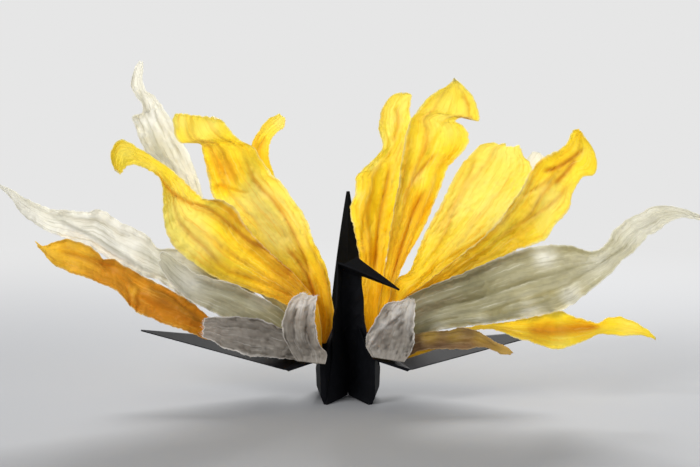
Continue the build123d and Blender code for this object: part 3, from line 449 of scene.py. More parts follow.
            ("lip", 1.1, 1.3, 0.4, (560, 284), (590, 268), (614, 252), (632, 238)),
            ("ridge", 0.8, 0.6, 0, (524, 254), (545, 259), (566, 254)),
            ("ridge", 0.7, 0.6, 0, (505, 310), (530, 304), (552, 296)),
            ("ridge", -0.6, 0.7, 0.4, (470, 322), (505, 314), (540, 304), (572, 290))),
        "blooms": ((545, 257, 12, 0.55), (440, 318, 26, 0.15), (520, 300, 18, 0.1), (600, 262, 16, 0.15),
            (640, 224, 24, 0.2), (440, 331, 10, 0.3), (482, 323, 11, 0.35), (530, 312, 11, 0.35),
            (572, 296, 12, 0.4), (470, 290, 22, -0.1)),
        "edges": ((388, 346, 394, 357), (393, 325, 405, 351), (398, 305, 420, 338), (415, 293, 440, 330),
            (435, 284, 460, 327), (458, 275, 485, 324), (482, 265, 508, 320), (503, 256, 530, 317),
            (520, 250, 550, 314), (540, 246, 565, 309), (557, 245, 577, 301), (573, 246, 590, 291),
            (585, 250, 602, 281), (595, 251, 613, 271), (605, 245, 623, 260), (609, 238, 633, 252),
            (614, 230, 641, 244), (625, 221, 648, 236), (640, 213, 658, 231), (655, 206, 668, 223),
            (670, 206, 680, 218), (685, 209, 693, 219), (703, 216, 706, 221))},
    "rightTornClaw": {
        "node": "petal_right_torn_claw", "skin": "claw", "seed": 22, "torn": 0.9, "papery": 2.2, "bow": 1.4,
        "lean": 0.2, "folds": 0.9, "crumple": 0.6, "curl": (0.6, 0.6),
        "depths": (-19.8, -20.0, -20.2, -20.3, -20.4),
        "tones": (0.4, 0.42, 0.45, 0.6, 1.0),
        "creases": (
            ("lip", 1.3, 1.3, 0.7, (366, 350), (373, 339), (383, 327), (395, 317), (406, 308)),
            ("ridge", 1.0, 0.7, 0, (412, 304), (409, 318), (408, 334), (410, 350)),
            ("ridge", -0.7, 0.7, 0.5, (404, 318), (402, 334), (400, 350)),
            ("ridge", -0.6, 0.6, 0.4, (380, 336), (386, 346), (394, 354))),
        "blooms": ((408, 306, 11, 0.8), (384, 326, 5, 0.6), (372, 340, 5, 0.5), (396, 316, 5, 0.6),
            (386, 312, 9, -0.1), (410, 326, 5, 0.4)),
        "edges": ((372, 357, 404, 362), (366, 345, 411, 352), (368, 334, 414, 342), (374, 322, 414, 331),
            (380, 312, 414, 320), (386, 304, 415, 309), (393, 301, 415, 299))},
    "rightYellowLow": {
        "node": "petal_right_yellow_low", "skin": "yellow", "seed": 23, "bow": 2.0, "lean": 2.0,
        "folds": 0.7, "crumple": 0.37, "curl": (0.6, 0.7),
        "depths": (-14.9, -15.7, -16.4, -17.2, -17.6, -17.9, -18.2, -19.3, -21.5),
        "tones": (0.1, 0.4, 0.5, 0.45, 0.55),
        "creases": (
            ("ridge", -2.2, 2.2, 0.95, (522, 328), (540, 331), (562, 330), (586, 328), (604, 327)),
            ("ridge", 0.8, 0.8, 0, (516, 334), (540, 343), (566, 345), (590, 336), (616, 331), (640, 332)),
            ("ridge", 0.6, 0.7, 0, (600, 322), (620, 322), (644, 331))),
        "blooms": ((548, 330, 12, -0.2), (578, 328, 10, -0.15), (560, 344, 18, 0.3), (630, 326, 18, 0.3),
            (560, 318, 14, 0.15)),
        "edges": ((398, 351, 402, 360), (420, 344, 424, 353), (443, 337, 446, 345), (465, 328, 466, 333),
            (482, 325, 482, 329), (500, 323, 500, 331), (517, 320, 514, 337), (533, 317, 528, 341),
            (547, 314, 543, 346), (560, 311, 558, 349), (573, 316, 573, 345), (586, 320, 586, 340),
            (598, 323, 598, 334), (608, 318, 609, 334), (620, 317, 622, 336), (633, 321, 634, 335),
            (645, 328, 645, 336), (656, 337, 655, 339))},
    "rightLowSmall": {
        "node": "petal_right_low_small", "skin": "blush", "seed": 24, "bow": 0.8, "lean": 0.6, "folds": 0.3,
        "crumple": 0.3, "curl": (0.4, 0.4),
        "depths": (-16.4, -18.0, -19.3, -20.0, -20.6),
        "tones": (0.3, 0.3, 0.3, 0.4, 0.8),
        "creases": (
            ("ridge", 0.6, 0.6, 0, (410, 342), (440, 338), (470, 336), (500, 347)),
            ("ridge", -0.5, 0.7, 0.5, (415, 350), (445, 345), (474, 341))),
        "blooms": ((430, 336, 10, 0.4), (455, 334, 10, 0.35), (480, 337, 8, 0.3), (505, 350, 8, 0.2)),
        "edges": ((388, 350, 394, 360), (402, 340, 408, 356), (416, 334, 422, 350), (432, 332, 438, 349),
            (449, 330, 454, 349), (464, 328, 468, 349), (477, 331, 480, 347), (487, 337, 488, 348),
            (497, 343, 497, 352), (507, 347, 506, 355), (513, 352, 511, 354))},
    "rightYellowWide": {
        "node": "petal_right_yellow_wide", "skin": "yellow", "seed": 25, "bow": 1.8, "lean": 0.6,
        "folds": 1.2, "crumple": 0.5, "curl": (0.8, 0.9),
        "depths": (-7.8, -8.0, -8.0, -8.5, -10.3, -12.3, -14.0, -15.5, -19.0),
        "tones": (0.05, 0.3, 0.6, 0.75, 0.5),
        "creases": (
            ("lip", 1.6, 1.8, 0.45, (576, 168), (560, 174), (544, 186), (524, 199), (506, 216), (488, 232),
             (462, 250)),
            ("ridge", -1.0, 0.9, 1.0, (586, 146), (572, 158), (556, 168), (540, 172)),
            ("ridge", -0.8, 0.8, 1.0, (578, 156), (566, 172), (552, 186)),
            ("ridge", 0.9, 0.8, 0, (566, 190), (548, 208), (524, 224), (496, 238)),
            ("ridge", -0.8, 0.8, 0.5, (572, 180), (556, 200), (534, 216), (508, 232))),
        "blooms": ((522, 238, 18, -0.22), (548, 226, 14, 0.1), (562, 160, 10, -0.22), (545, 172, 12, -0.19),
            (588, 150, 10, 0.2), (480, 258, 18, 0.0), (440, 285, 24, 0.05), (548, 196, 14, 0.3),
            (502, 222, 12, 0.3)),
        "edges": ((379, 348, 390, 354), (388, 318, 405, 330), (402, 300, 425, 312), (420, 287, 443, 298),
            (440, 272, 462, 284), (459, 257, 482, 271), (477, 243, 502, 261), (492, 229, 516, 250),
            (505, 213, 530, 246), (516, 197, 546, 239), (524, 184, 553, 228), (531, 171, 563, 217),
            (539, 161, 570, 206), (549, 154, 573, 192), (559, 150, 583, 177), (567, 143, 594, 175),
            (571, 134, 597, 163), (574, 130, 593, 149), (579, 129, 587, 140))},
    "rightYellowLobe": {
        "node": "petal_right_yellow_lobe", "skin": "yellow", "seed": 26, "torn": 0.6, "bow": 1.6,
        "lean": 0.0, "folds": 1.0, "crumple": 0.37, "curl": (0.8, 0.8),
        "depths": (-5.0, -5.3, -5.6, -5.8, -6.0, -6.5, -7.3, -7.8, -6.5),
        "tones": (0.15, 0.5, 0.75, 0.85, 0.95),
        "creases": (
            ("lip", 1.1, 1.6, 0.35, (398, 296), (422, 274), (448, 255), (474, 240), (490, 228), (508, 210),
             (524, 192)),
            ("ridge", -0.6, 0.8, 0.35, (478, 152), (468, 178), (450, 210), (428, 244)),
            ("ridge", 0.6, 0.8, 0, (500, 152), (490, 180), (468, 212), (440, 246))),
        "blooms": ((478, 206, 26, 0.2), (500, 158, 16, -0.03), (505, 150, 12, 0.2), (506, 214, 12, 0.35),
            (430, 262, 20, -0.03)),
        "edges": ((379, 344, 391, 350), (386, 312, 402, 318), (395, 281, 415, 298), (409, 272, 430, 284),
            (416, 256, 447, 268), (422, 240, 464, 254), (431, 222, 481, 240), (442, 202, 497, 224),
            (450, 185, 511, 207), (460, 167, 523, 190), (470, 155, 532, 173), (478, 147, 529, 162),
            (484, 144, 524, 156), (492, 143, 522, 148))},
    "rightYellowFront": {
        "node": "petal_right_yellow_front", "skin": "yellow", "seed": 27, "bow": 1.6, "lean": 0.0,
        "folds": 1.2, "crumple": 0.5, "curl": (0.8, 0.8),
        "depths": (-1.5, -1.8, -2.0, -2.4, -2.9, -3.4, -4.2, -5.5, -9.0),
        "tones": (0.1, 0.45, 0.6, 0.7, 0.9),
        "creases": (
            ("ridge", 1.2, 0.9, 0, (424, 172), (408, 192), (398, 216), (391, 240), (384, 272)),
            ("ridge", -1.1, 0.9, 0.8, (430, 184), (416, 206), (406, 232), (398, 258), (388, 296)),
            ("lip", 1.4, 1.5, 0.7, (474, 118), (466, 121), (456, 117)),
            ("ridge", -0.9, 0.8, 0.7, (440, 150), (424, 166), (410, 186), (400, 214)),
            ("ridge", 0.8, 0.8, 0, (452, 100), (440, 124), (424, 150), (408, 170)),
            ("ridge", -0.7, 0.7, 0.5, (462, 94), (470, 108))),
        "blooms": ((405, 172, 14, -0.06), (418, 178, 10, 0.3), (440, 116, 18, 0.15), (462, 95, 10, -0.06),
            (425, 210, 16, -0.25), (448, 160, 14, -0.19), (396, 200, 10, 0.1), (404, 250, 14, -0.22)),
        "edges": ((375, 342, 388, 345), (378, 312, 394, 316), (382, 285, 397, 282), (386, 262, 406, 259),
            (389, 240, 416, 242), (392, 220, 427, 222), (395, 202, 434, 203), (398, 187, 441, 187),
            (400, 172, 447, 169), (402, 158, 457, 158), (404, 145, 466, 147), (406, 134, 469, 136),
            (409, 125, 463, 126), (411, 119, 455, 121), (416, 113, 466, 117), (422, 105, 478, 121),
            (429, 97, 478, 110), (437, 91, 473, 97), (444, 87, 465, 88), (451, 82, 459, 82),
            (453, 79, 455, 79))},
    "rightYellowBack": {
        "node": "petal_right_yellow_back", "skin": "yellow", "seed": 28, "bow": 1.4, "lean": 0.0,
        "folds": 1.1, "crumple": 0.5, "curl": (0.8, 0.7),
        "depths": (5.5, 6.4, 7.2, 8.0, 8.8, 9.6, 10.5, 11.0, 8.5),
        "tones": (0.1, 0.4, 0.6, 0.8, 1.0),
        "creases": (
            ("ridge", 1.1, 0.8, 0, (384, 150), (372, 182), (366, 214), (368, 246), (374, 286)),
            ("ridge", -1.1, 0.8, 0.8, (392, 156), (386, 186), (380, 216), (376, 250), (374, 290)),
            ("lip", 1.0, 1.4, 0.5, (364, 262), (360, 238), (362, 214), (372, 190)),
            ("ridge", -0.7, 0.8, 0.5, (396, 104), (398, 124), (392, 146))),
        "blooms": ((364, 200, 12, -0.19), (394, 112, 14, 0.25), (366, 236, 12, 0.05), (376, 256, 10, -0.15),
            (374, 290, 16, -0.1), (390, 100, 12, 0.5), (381, 130, 8, 0.5), (372, 164, 7, 0.4),
            (360, 196, 6, 0.4)),
        "edges": ((369, 341, 385, 341), (363, 311, 382, 310), (360, 285, 383, 280), (360, 262, 387, 255),
            (357, 243, 392, 235), (353, 225, 397, 218), (350, 207, 401, 202), (355, 195, 405, 188),
            (356, 178, 408, 172), (363, 169, 410, 158), (373, 160, 411, 147), (383, 147, 412, 136),
            (380, 135, 412, 127), (379, 124, 411, 118), (381, 112, 409, 109), (386, 102, 411, 101),
            (393, 95, 411, 95), (400, 93, 407, 93))},
    "rightPaleBack": {
        "node": "petal_right_pale_back", "skin": "pale", "seed": 29, "bow": 1.0, "lean": 0.0, "folds": 0.5,
        "crumple": 0.5, "curl": (0.5, 0.5),
        "depths": (9.5, 12.1, 13.8, 16.4, 18.5),
        "tones": (0.3, 0.5, 0.7, 0.8, 0.9),
        "blooms": ((536, 156, 8, 0.2),),
        "edges": ((381, 337, 392, 341), (410, 292, 425, 300), (445, 245, 468, 255), (485, 200, 505, 212),
            (510, 175, 528, 187), (525, 160, 541, 172), (533, 152, 546, 162), (537, 151, 543, 156))},
}
build = {
    "cell": 0.5,  # mm between rows and columns of a petal's mesh
    "rows": (24, 230), "columns": (18, 60),  # fewest and most
    "turnShare": 0.3,  # how much a turn of the edges counts beside the length when rows are spread
    "crowding": 1.25,  # above 1, columns crowd towards the rims
    "thick": 0.34, "thinEdge": 0.16,  # mm
    "thinPower": 4, "frillPower": 3,  # how close to the rims the petal thins and frills
    "clawThick": 1.25, "taper": 0.5,  # share of the thickness at the claw, and how much is lost to the tip
    "rimRound": 0.45,  # how far a rim bulges, as a share of its thickness
    "foldGap": 4.2,  # mm between the long folds where the petal is widest
    "foldRoom": 12,  # mm of width for each mm that folds are deep
    "calmEnds": 0.02,  # share of the length at each end where the relief is least
    "crinkleRise": 1.4,  # how much sooner than the folds the crinkles are full
    "sidesApart": 9,  # mm between the random forms of the two rims
    "ragged": 0.22, "raggedFull": 0.25,  # mm that a dried edge wanders, in full from this share of the length
    "torn": 0.35, "tornFrom": 0.86,  # mm that the end is ragged, and from where
    "curlFrom": 0.86, "tipFrom": 0.95,  # shares of the half width and of the length past which they curl
    "tipCurl": 0.7, "curlRound": 0.96,  # mm, and how near a curl comes to a quarter round
    "endRim": 0.94,  # share of the length past which the tip counts as rim
    "patternShift": 0.05,  # metres between the patterns of neighbouring seeds
}
fullWidth = {"bow": 14, "crumple": 10, "crinkle": 8, "curl": 7}  # mm of width at which each form is full
waves = {  # mm high, mm along a wave and across it, how many are added up
    "drift": (0.6, 5, 5, 12), "nibble": (0.4, 1.6, 1.6, 12),  # along the edges, as shares of their raggedness
    "swell": (0.6, 75, build["foldGap"] * 2.4, 10), "foldPath": (0.1, 40, 40, 4), "ribs": (0.05, 30, 1.1, 14),
    "crumple": (1, 16, 9, 12), "crinkle": (0.34, 9, 2.6, 8), "fineCrinkle": (0.2, 3.2, 2.0, 10),
    "frill": (0.9, 7, 5, 12), "paleRim": (0.35, 14, 9, 5),
    "teeth": (0.75, 9, 6, 8), "fineTeeth": (0.25, 9, 2.2, 8),  # as shares of how ragged the end is
}
waveSpread = (0.6, 1.7)  # each wave is this many times finer than named, picked at random
longFolds = {
    "start": (0.2, 0.8), "reach": (0.35, 0.95),  # shares of its strip and of the length, picked at random
    "fromTip": 0.3, "fade": 0.3,  # share of them that start at the tip, share of the length they fade over
    "high": (0.5, 1.2), "wide": 0.9,  # height, picked at random, and mm
    # the darkness of the long folds is painted shade, deeper for higher folds
    "depth": 1.3, "shade": 0.55,  # how deep and how dark they are for their height
}
creaseSet = {
    "pieces": 4,  # straight pieces for each place that is drawn
    "fade": 0.2,  # share of a crease's length over which each end fades
    "widest": 0.2, "least": 0.2,  # share of the petal's width, and mm, that a crease's width is held between
    "lipSlope": 0.7, "lipFall": 0.35,  # how a lip slopes on its raised side, and how sharply it ends
    # the shade beside a lip is painted shade
    "shadeAt": 0.45, "shadeWide": 0.4,  # where the shade under a lip lies, in widths of the lip
}
# a rim is paler: least at the claw, and grown between two shares of the length
paleRim = {"least": 0.93, "from": 0.2, "full": 0.5, "mean": 0.75}


def easedCurve(points, shares):
    # a Catmull-Rom curve through evenly counted points, read at shares from 0 to 1
    points = np.asarray(points, float)
    spans = len(points) - 1
    ends = np.vstack([2 * points[0] - points[1], points, 2 * points[-1] - points[-2]])
    place = np.clip(shares, 0, 1) * spans
    i = np.minimum(place.astype(int), spans - 1)
    f = (place - i)[:, None]
    a, b, c, d = (ends[i + k] for k in range(4))
    return b + 0.5 * f * (c - a + f * (2 * a - 5 * b + 4 * c - d + f * (3 * (b - c) + d - a)))


def wave(rng, kind, x, y):
    # gentle random swell of the kind's height
    height, long, wide, count = waves[kind]
    total = np.zeros(np.broadcast(x, y).shape)
    for k in range(count):
        turn, size = rng.uniform(0, 2 * np.pi), rng.uniform(*waveSpread)
        total = total + np.sin(2 * np.pi * (x * np.cos(turn) / wide + y * np.sin(turn) / long) * size
                               + rng.uniform(0, 2 * np.pi))
    return height * (total / np.sqrt(count))


def pastShare(value, start):
    # 0 up to start, then evenly up to 1 at 1
    return np.clip((value - start) / (1 - start), 0, 1)


def unitRows(vectors):
    return vectors / np.maximum(np.linalg.norm(vectors, axis=-1, keepdims=True), 1e-9)


def drawnCreases(petal, px, py, width):
    # how far each place comes forward at the drawn creases, in mm, and how deep the painted shade there is
    forward, shade = np.zeros_like(px), np.zeros_like(px)
    for kind, height, wide, dark, *points in petal.get("creases", ()):
        line = easedCurve(points, np.linspace(0, 1, creaseSet["pieces"] * len(points)))
        near, hand, share = np.full(px.shape, np.inf), np.zeros_like(px), np.zeros_like(px)
        for i, (a, b) in enumerate(zip(line[:-1], line[1:])):
            step = b - a
            along = np.clip(((px - a[0]) * step[0] + (py - a[1]) * step[1]) / (step @ step), 0, 1)
            far = np.hypot(px - a[0] - along * step[0], py - a[1] - along * step[1])
            nearer = far < near
            near = np.where(nearer, far, near)
            hand = np.where(nearer, step[1] * (px - a[0]) - step[0] * (py - a[1]), hand)
            share = np.where(nearer, (i + along) / (len(line) - 1), share)
        ends = easedStep(0, creaseSet["fade"], np.minimum(share, 1 - share))
        reach = near / pxPerMm / np.maximum(np.minimum(wide, creaseSet["widest"] * width), creaseSet["least"])
        if kind == "lip":
            shape = np.where(hand > 0, np.exp(-reach * creaseSet["lipSlope"]),
                             np.exp(-(reach / creaseSet["lipFall"]) ** 2))
            under = np.exp(-((reach - creaseSet["shadeAt"]) / creaseSet["shadeWide"]) ** 2)
            paintedShade = np.where(hand > 0, 0, under)
        else:
            shape = np.exp(-reach ** 2)
            paintedShade = shape * (height < 0)
        forward = forward + height * ends * shape
        shade = np.maximum(shade, dark * ends * paintedShade)
    return forward, shade


def petalOutline(petal, rng):
    # rows from claw to tip: their shares of the length, both edges in the picture, and the measures in mm
    edges = np.asarray(petal["edges"], float)
    middle = (edges[:, :2] + edges[:, 2:]) / 2
    steps = np.linalg.norm(np.diff(middle, axis=0), axis=1)
    turns = np.abs(np.diff(edges[:, :2] - edges[:, 2:], axis=0)).sum(axis=1) * build["turnShare"]
    run = np.concatenate([[0], np.cumsum(steps + turns)])
    length = run[-1] / pxPerMm
    widest = np.linalg.norm(edges[:, :2] - edges[:, 2:], axis=1).max() / pxPerMm
    t = np.linspace(0, 1, int(np.clip(length / build["cell"], *build["rows"])))
    line = easedCurve(edges, np.interp(t * run[-1], run, np.linspace(0, 1, len(run))))
    upper, lower = line[:, :2], line[:, 2:]
    width = np.linalg.norm(upper - lower, axis=1)[:, None] / pxPerMm
    # a dried edge wanders a little, more towards the tip
    rough = build["ragged"] * pxPerMm * np.minimum(t / build["raggedFull"], 1)
    unit = unitRows(upper - lower)
    for edge, sign in ((upper, 1), (lower, -1)):
        drift = wave(rng, "drift", 0 * t, t * length) + wave(rng, "nibble", 0 * t, t * length)
        edge += sign * unit * (drift * rough)[:, None]
    return t, upper, lower, width, length, widest


def foldsAlong(rng, c, t, length, widest):
    # sharp folds that run in from the claw or the tip, one to each strip of the petal
    total = np.zeros(np.broadcast(c, t).shape)
    count = max(int(round(widest / build["foldGap"])), 2)
    for k in range(count):
        start = -1 + 2 * (k + rng.uniform(*longFolds["start"])) / count
        reach = rng.uniform(*longFolds["reach"])
        fromTip = rng.random() < longFolds["fromTip"]
        strength = np.clip((reach - (1 - t if fromTip else t)) / longFolds["fade"], 0, 1)
        path = start + wave(rng, "foldPath", 0 * t, t * length)
        high = strength * rng.uniform(*longFolds["high"])
        total = total + high * np.exp(-np.abs(c - path) * widest / 2 / longFolds["wide"])
    return total


def petalSheet(petal):
    # middle surface of a petal as rows of places in mm, with its thickness and patterns
    rng = np.random.default_rng(petal["seed"])
    shares, upper, lower, width, length, widest = petalOutline(petal, rng)
    # t runs along, 0 at the claw and 1 at the tip, and c across, -1 at the lower rim and 1 at the upper
    t = shares[:, None]
    columns = int(np.clip(widest / build["cell"], *build["columns"])) | 1
    c = np.linspace(-1, 1, columns)[None, :]
    c = np.sign(c) * (1 - (1 - np.abs(c)) ** build["crowding"])
    mix = (c + 1) / 2
    px, py = (lower[:, k:k + 1] * (1 - mix) + upper[:, k:k + 1] * mix for k in (0, 1))
    # mm across and along.  Folds and veins keep their place in wide, so they draw together at the claw
    u, wide, v = c * width / 2, c * widest / 2, t * length
    rims = np.sign(c) * build["sidesApart"]
    full = {key: np.minimum(width / most, 1) for key, most in fullWidth.items()}
    rise = np.sin(np.pi * np.clip(t, build["calmEnds"], 1 - build["calmEnds"])) ** 0.5
    swell = wave(rng, "swell", wide, v)
    folds = foldsAlong(rng, c, t, length, widest)
    ribs = wave(rng, "ribs", wide, v) * np.minimum(width / widest, 1)
    crumple = petal["crumple"] * wave(rng, "crumple", u, v) * full["crumple"] * rise
    crinkle = np.abs(wave(rng, "crinkle", u, v)) + np.abs(wave(rng, "fineCrinkle", u, v))
    crinkle = petal.get("papery", 1) * crinkle * full["crinkle"] * np.minimum(rise * build["crinkleRise"], 1)
    frill = petal["crumple"] * np.abs(c) ** build["frillPower"] * wave(rng, "frill", rims, v) * rise
    forward, shade = drawnCreases(petal, px, py, width)
    deep = np.minimum(petal["folds"], width / build["foldRoom"]) * rise
    y = (easedCurve(np.asarray(petal["depths"], float)[:, None], shares)
         + petal["bow"] * full["bow"] * (0.5 - c ** 2) + petal["lean"] * c / 2 * rise
         + deep * (swell - longFolds["depth"] * folds) + ribs + crumple + crinkle + frill - forward)
    # both rims and the tip roll forward
    rolls = ((c, build["curlFrom"], petal["curl"][0]), (-c, build["curlFrom"], petal["curl"][1]),
             (t, build["tipFrom"], build["tipCurl"]))
    for place, start, roll in rolls:
        y = y - roll * (1 - np.sqrt(1 - pastShare(place, start) ** 2 * build["curlRound"])) * full["curl"]
    tone = easedCurve(np.asarray(petal["tones"], float)[:, None], shares) + np.zeros_like(px)
    # patches of tone: partly the petal's own colour, partly painted highlights and painted shade
    for x, z, reach, change in petal.get("blooms", ()):
        tone += change * np.exp(-((px - x) ** 2 + (py - z) ** 2) / reach ** 2)
    grown = np.clip((t - paleRim["from"]) / (paleRim["full"] - paleRim["from"]), 0, 1)
    pale = grown * (paleRim["mean"] + wave(rng, "paleRim", rims, v))
    pale = paleRim["least"] + (1 - paleRim["least"]) * pale
    edge = np.maximum(np.abs(c), pastShare(t, build["endRim"])) * pale
    # a torn or dried end is ragged
    onward = unitRows(np.gradient((upper + lower) / 2, axis=0))
    teeth = wave(rng, "teeth", wide, 0 * v) + wave(rng, "fineTeeth", wide, 0 * v)
    teeth = teeth * petal.get("torn", build["torn"]) * pxPerMm * pastShare(t, build["tornFrom"]) ** 2
    places = seenFrom(px + onward[:, :1] * teeth, py + onward[:, 1:] * teeth, y)
    thick = (build["thick"] - build["thinEdge"]) * (1 - np.abs(c) ** build["thinPower"])
    thick = build["thinEdge"] + thick * (build["clawThick"] - build["taper"] * t)
    # painted shade in the long folds and beside the drawn creases
    shade = np.maximum(np.clip(folds * longFolds["shade"], 0, 1) * rise, shade)
    return places, thick, {"tone": tone, "edge": edge, "paintedFoldShade": shade}, np.broadcast_arrays(wide, v)


def closedSkin(spots, down, sideways, thick):
    # front, rim, back and rim as a ring for each row, closed by a rounded end at the claw and at the tip
    rows, columns = spots.shape[:2]
    half = unitRows(np.cross(sideways, down)) * thick[..., None] / 2
    out = build["thinEdge"] * build["rimRound"]
    right, left = spots[:, -1] + sideways[:, -1] * out, spots[:, 0] - sideways[:, 0] * out
    rings = np.concatenate([spots + half, right[:, None], (spots - half)[:, ::-1], left[:, None]], axis=1)
    around = rings.shape[1]
    faces = []
    for r in range(rows - 1):
        for k in range(around):
            a, b = r * around + k, r * around + (k + 1) % around
            faces.append((a, b, b + around, a + around))
    caps = []
    for row, sign in ((0, -1), (rows - 1, 1)):
        ring, cap = row * around, rows * around + len(caps) * columns
        caps.append(spots[row] + sign * down[row] * out)
        end = []
        for k in range(columns - 1):
            front, middle, behind = ring + k, cap + k, ring + 2 * columns - k
            end += [(front, front + 1, middle + 1, middle), (middle, middle + 1, behind - 1, behind)]
        rightRim, leftRim, capEnd = ring + columns, ring + 2 * columns + 1, cap + columns - 1
        end += [(rightRim - 1, rightRim, capEnd), (capEnd, rightRim, rightRim + 1),
                (ring, cap, leftRim), (leftRim, cap, leftRim - 1)]
        # at the claw the same faces are turned over
        faces += end if sign > 0 else [face[:1] + face[:0:-1] for face in end]
    return np.vstack([rings.reshape(-1, 3)] + caps), faces


def aroundSkin(grid):
    # values of the sheet's places for the vertices of its closed skin
    rings = np.concatenate([grid, grid[:, -1:], grid[:, ::-1], grid[:, :1]], axis=1)
    return np.concatenate([rings.reshape(-1), grid[0], grid[-1]])


tornEnds = {}  # rows of places of the claws, for their fibres


def petalMesh(name, petal):
    spots, thick, patterns, flat = petalSheet(petal)
    down, sideways = unitRows(np.gradient(spots, axis=0)), unitRows(np.gradient(spots, axis=1))
    verts, faces = closedSkin(spots, down, sideways, thick)
    mesh = bpy.data.meshes.new(name)
    mesh.from_pydata((verts * mm).tolist(), [], faces)
    mesh.validate()
    for key, grid in patterns.items():
        layer = mesh.attributes.new(key, "FLOAT", "POINT")
        layer.data.foreach_set("value", aroundSkin(grid).astype(np.float32))
    # the petal laid flat, its pattern in metres
    corner = np.empty(len(mesh.loops), dtype=np.int32)
    mesh.loops.foreach_get("vertex_index", corner)
    laid = np.stack([aroundSkin(grid) * mm for grid in flat], axis=1)
    laid[:, 0] += petal["seed"] * build["patternShift"]
    mesh.uv_layers.new(name="laidFlat").data.foreach_set("uv", laid[corner].reshape(-1).astype(np.float32))
    mesh.polygons.foreach_set("use_smooth", [True] * len(mesh.polygons))
    bm = bmesh.new()
    bm.from_mesh(mesh)
    bmesh.ops.recalc_face_normals(bm, faces=bm.faces)
    bm.to_mesh(mesh)
    bm.free()
    mesh.materials.append(skins[petal["skin"]])
    piece = bpy.data.objects.new(name, mesh)
    scene.collection.objects.link(piece)
    if petal["skin"] == "claw":
        tornEnds[name] = (spots, down, sideways)
    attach(piece, "root")
    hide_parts(petal["node"])
    return piece


for name, petal in petals.items():
    piece = petalMesh(name, petal)
    print(name, len(piece.data.polygons), "faces")
print("petals ready")

# dried fibres that stand out of the torn ends of the claws, pale and dull
fibreSet = {
    "spacing": 0.3, "length": 1.5, "radius": 0.07,  # mm, at a torn end
    "sideSpacing": 1.1, "sideLength": 0.7,  # mm, along its two sides
    "sideFrom": 0.25,  # share of a side that stays bare
    "root": 0.12,  # mm that a fibre starts inside the petal
    "stray": 0.55,  # how far a fibre leans from straight out, as a share of its length
    "tall": (0.35, 1.2),  # the shortest and the longest, beside the length
    "sides": 5, "seed": 5, "colour": "#E4E0DA", "roughness": 0.8, "ior": 1.42,
}


def fibreMaterial():
    material, tree = newMaterial("driedPlantFibre")
    skin = addNode(tree, "ShaderNodeBsdfPrincipled", None, Base_Color=toLinear(fibreSet["colour"]),
                   Roughness=fibreSet["roughness"], IOR=fibreSet["ior"])
    addNode(tree, "ShaderNodeOutputMaterial", None, Surface=skin.outputs["BSDF"])
    return material


def fibreTree():
    tree = bpy.data.node_groups.new("tornFibres", "GeometryNodeTree")
    for name, kind in (("Edge", "Geometry"), ("Spacing", "Float"), ("Length", "Float"), ("Radius", "Float"),
                       ("Stray", "Float"), ("Seed", "Int"), ("Skin", "Material")):
        tree.interface.new_socket(name=name, in_out="INPUT", socket_type="NodeSocket" + kind)
    tree.interface.new_socket(name="Fibres", in_out="OUTPUT", socket_type="NodeSocketGeometry")
    given = addNode(tree, "NodeGroupInput").outputs
    curve = addNode(tree, "GeometryNodeMeshToCurve", None, Mesh=given["Edge"]).outputs["Curve"]
    points = addNode(tree, "GeometryNodeResampleCurve", {"mode": "LENGTH"}, Curve=curve,
                     Length=given["Spacing"]).outputs["Curve"]
    outward = addNode(tree, "GeometryNodeInputNamedAttribute", {"data_type": "FLOAT_VECTOR"}, Name="outward")
    stray = addNode(tree, "FunctionNodeRandomValue", {"data_type": "FLOAT_VECTOR"}, Seed=given["Seed"],
                    at0=(-1, -1, -1), at1=(1, 1, 1)).outputs["Value"]
    stray = addNode(tree, "ShaderNodeVectorMath", {"operation": "SCALE"}, Vector=stray, Scale=given["Stray"])
    way = addNode(tree, "ShaderNodeVectorMath", {"operation": "ADD"}, at0=outward.outputs["Attribute"],
                  at1=stray.outputs["Vector"]).outputs["Vector"]
    turn = addNode(tree, "FunctionNodeAlignRotationToVector", {"axis": "Z"}, Vector=way).outputs["Rotation"]
    fibre = addNode(tree, "GeometryNodeMeshCone", None, Vertices=fibreSet["sides"], Radius_Top=0.0,
                    Radius_Bottom=given["Radius"], Depth=given["Length"]).outputs["Mesh"]
    share = addNode(tree, "FunctionNodeRandomValue", {"data_type": "FLOAT"}, Seed=given["Seed"]).outputs[1]
    least, most = fibreSet["tall"]
    tall = addNode(tree, "ShaderNodeMapRange", None, Value=share, To_Min=least, To_Max=most).outputs["Result"]
    size = addNode(tree, "ShaderNodeCombineXYZ", None, X=1.0, Y=1.0, Z=tall).outputs["Vector"]
    placed = addNode(tree, "GeometryNodeInstanceOnPoints", None, Points=points, Instance=fibre, Rotation=turn,
                     Scale=size).outputs["Instances"]
    real = addNode(tree, "GeometryNodeRealizeInstances", None, Geometry=placed).outputs["Geometry"]
    skinned = addNode(tree, "GeometryNodeSetMaterial", None, Geometry=real, Material=given["Skin"])
    tree.links.new(skinned.outputs["Geometry"], addNode(tree, "NodeGroupOutput").inputs["Fibres"])
    return tree


def frayedEdge(name, spots, outward):
    # a chain of edges in metres that carries the way its fibres point
    mesh = bpy.data.meshes.new(name)
    mesh.from_pydata((spots * mm).tolist(), [(i, i + 1) for i in range(len(spots) - 1)], [])
    ways = mesh.attributes.new("outward", "FLOAT_VECTOR", "POINT")
    ways.data.foreach_set("vector", outward.astype(np.float32).reshape(-1))
    edge = bpy.data.objects.new(name, mesh)
    scene.collection.objects.link(edge)
    return edge


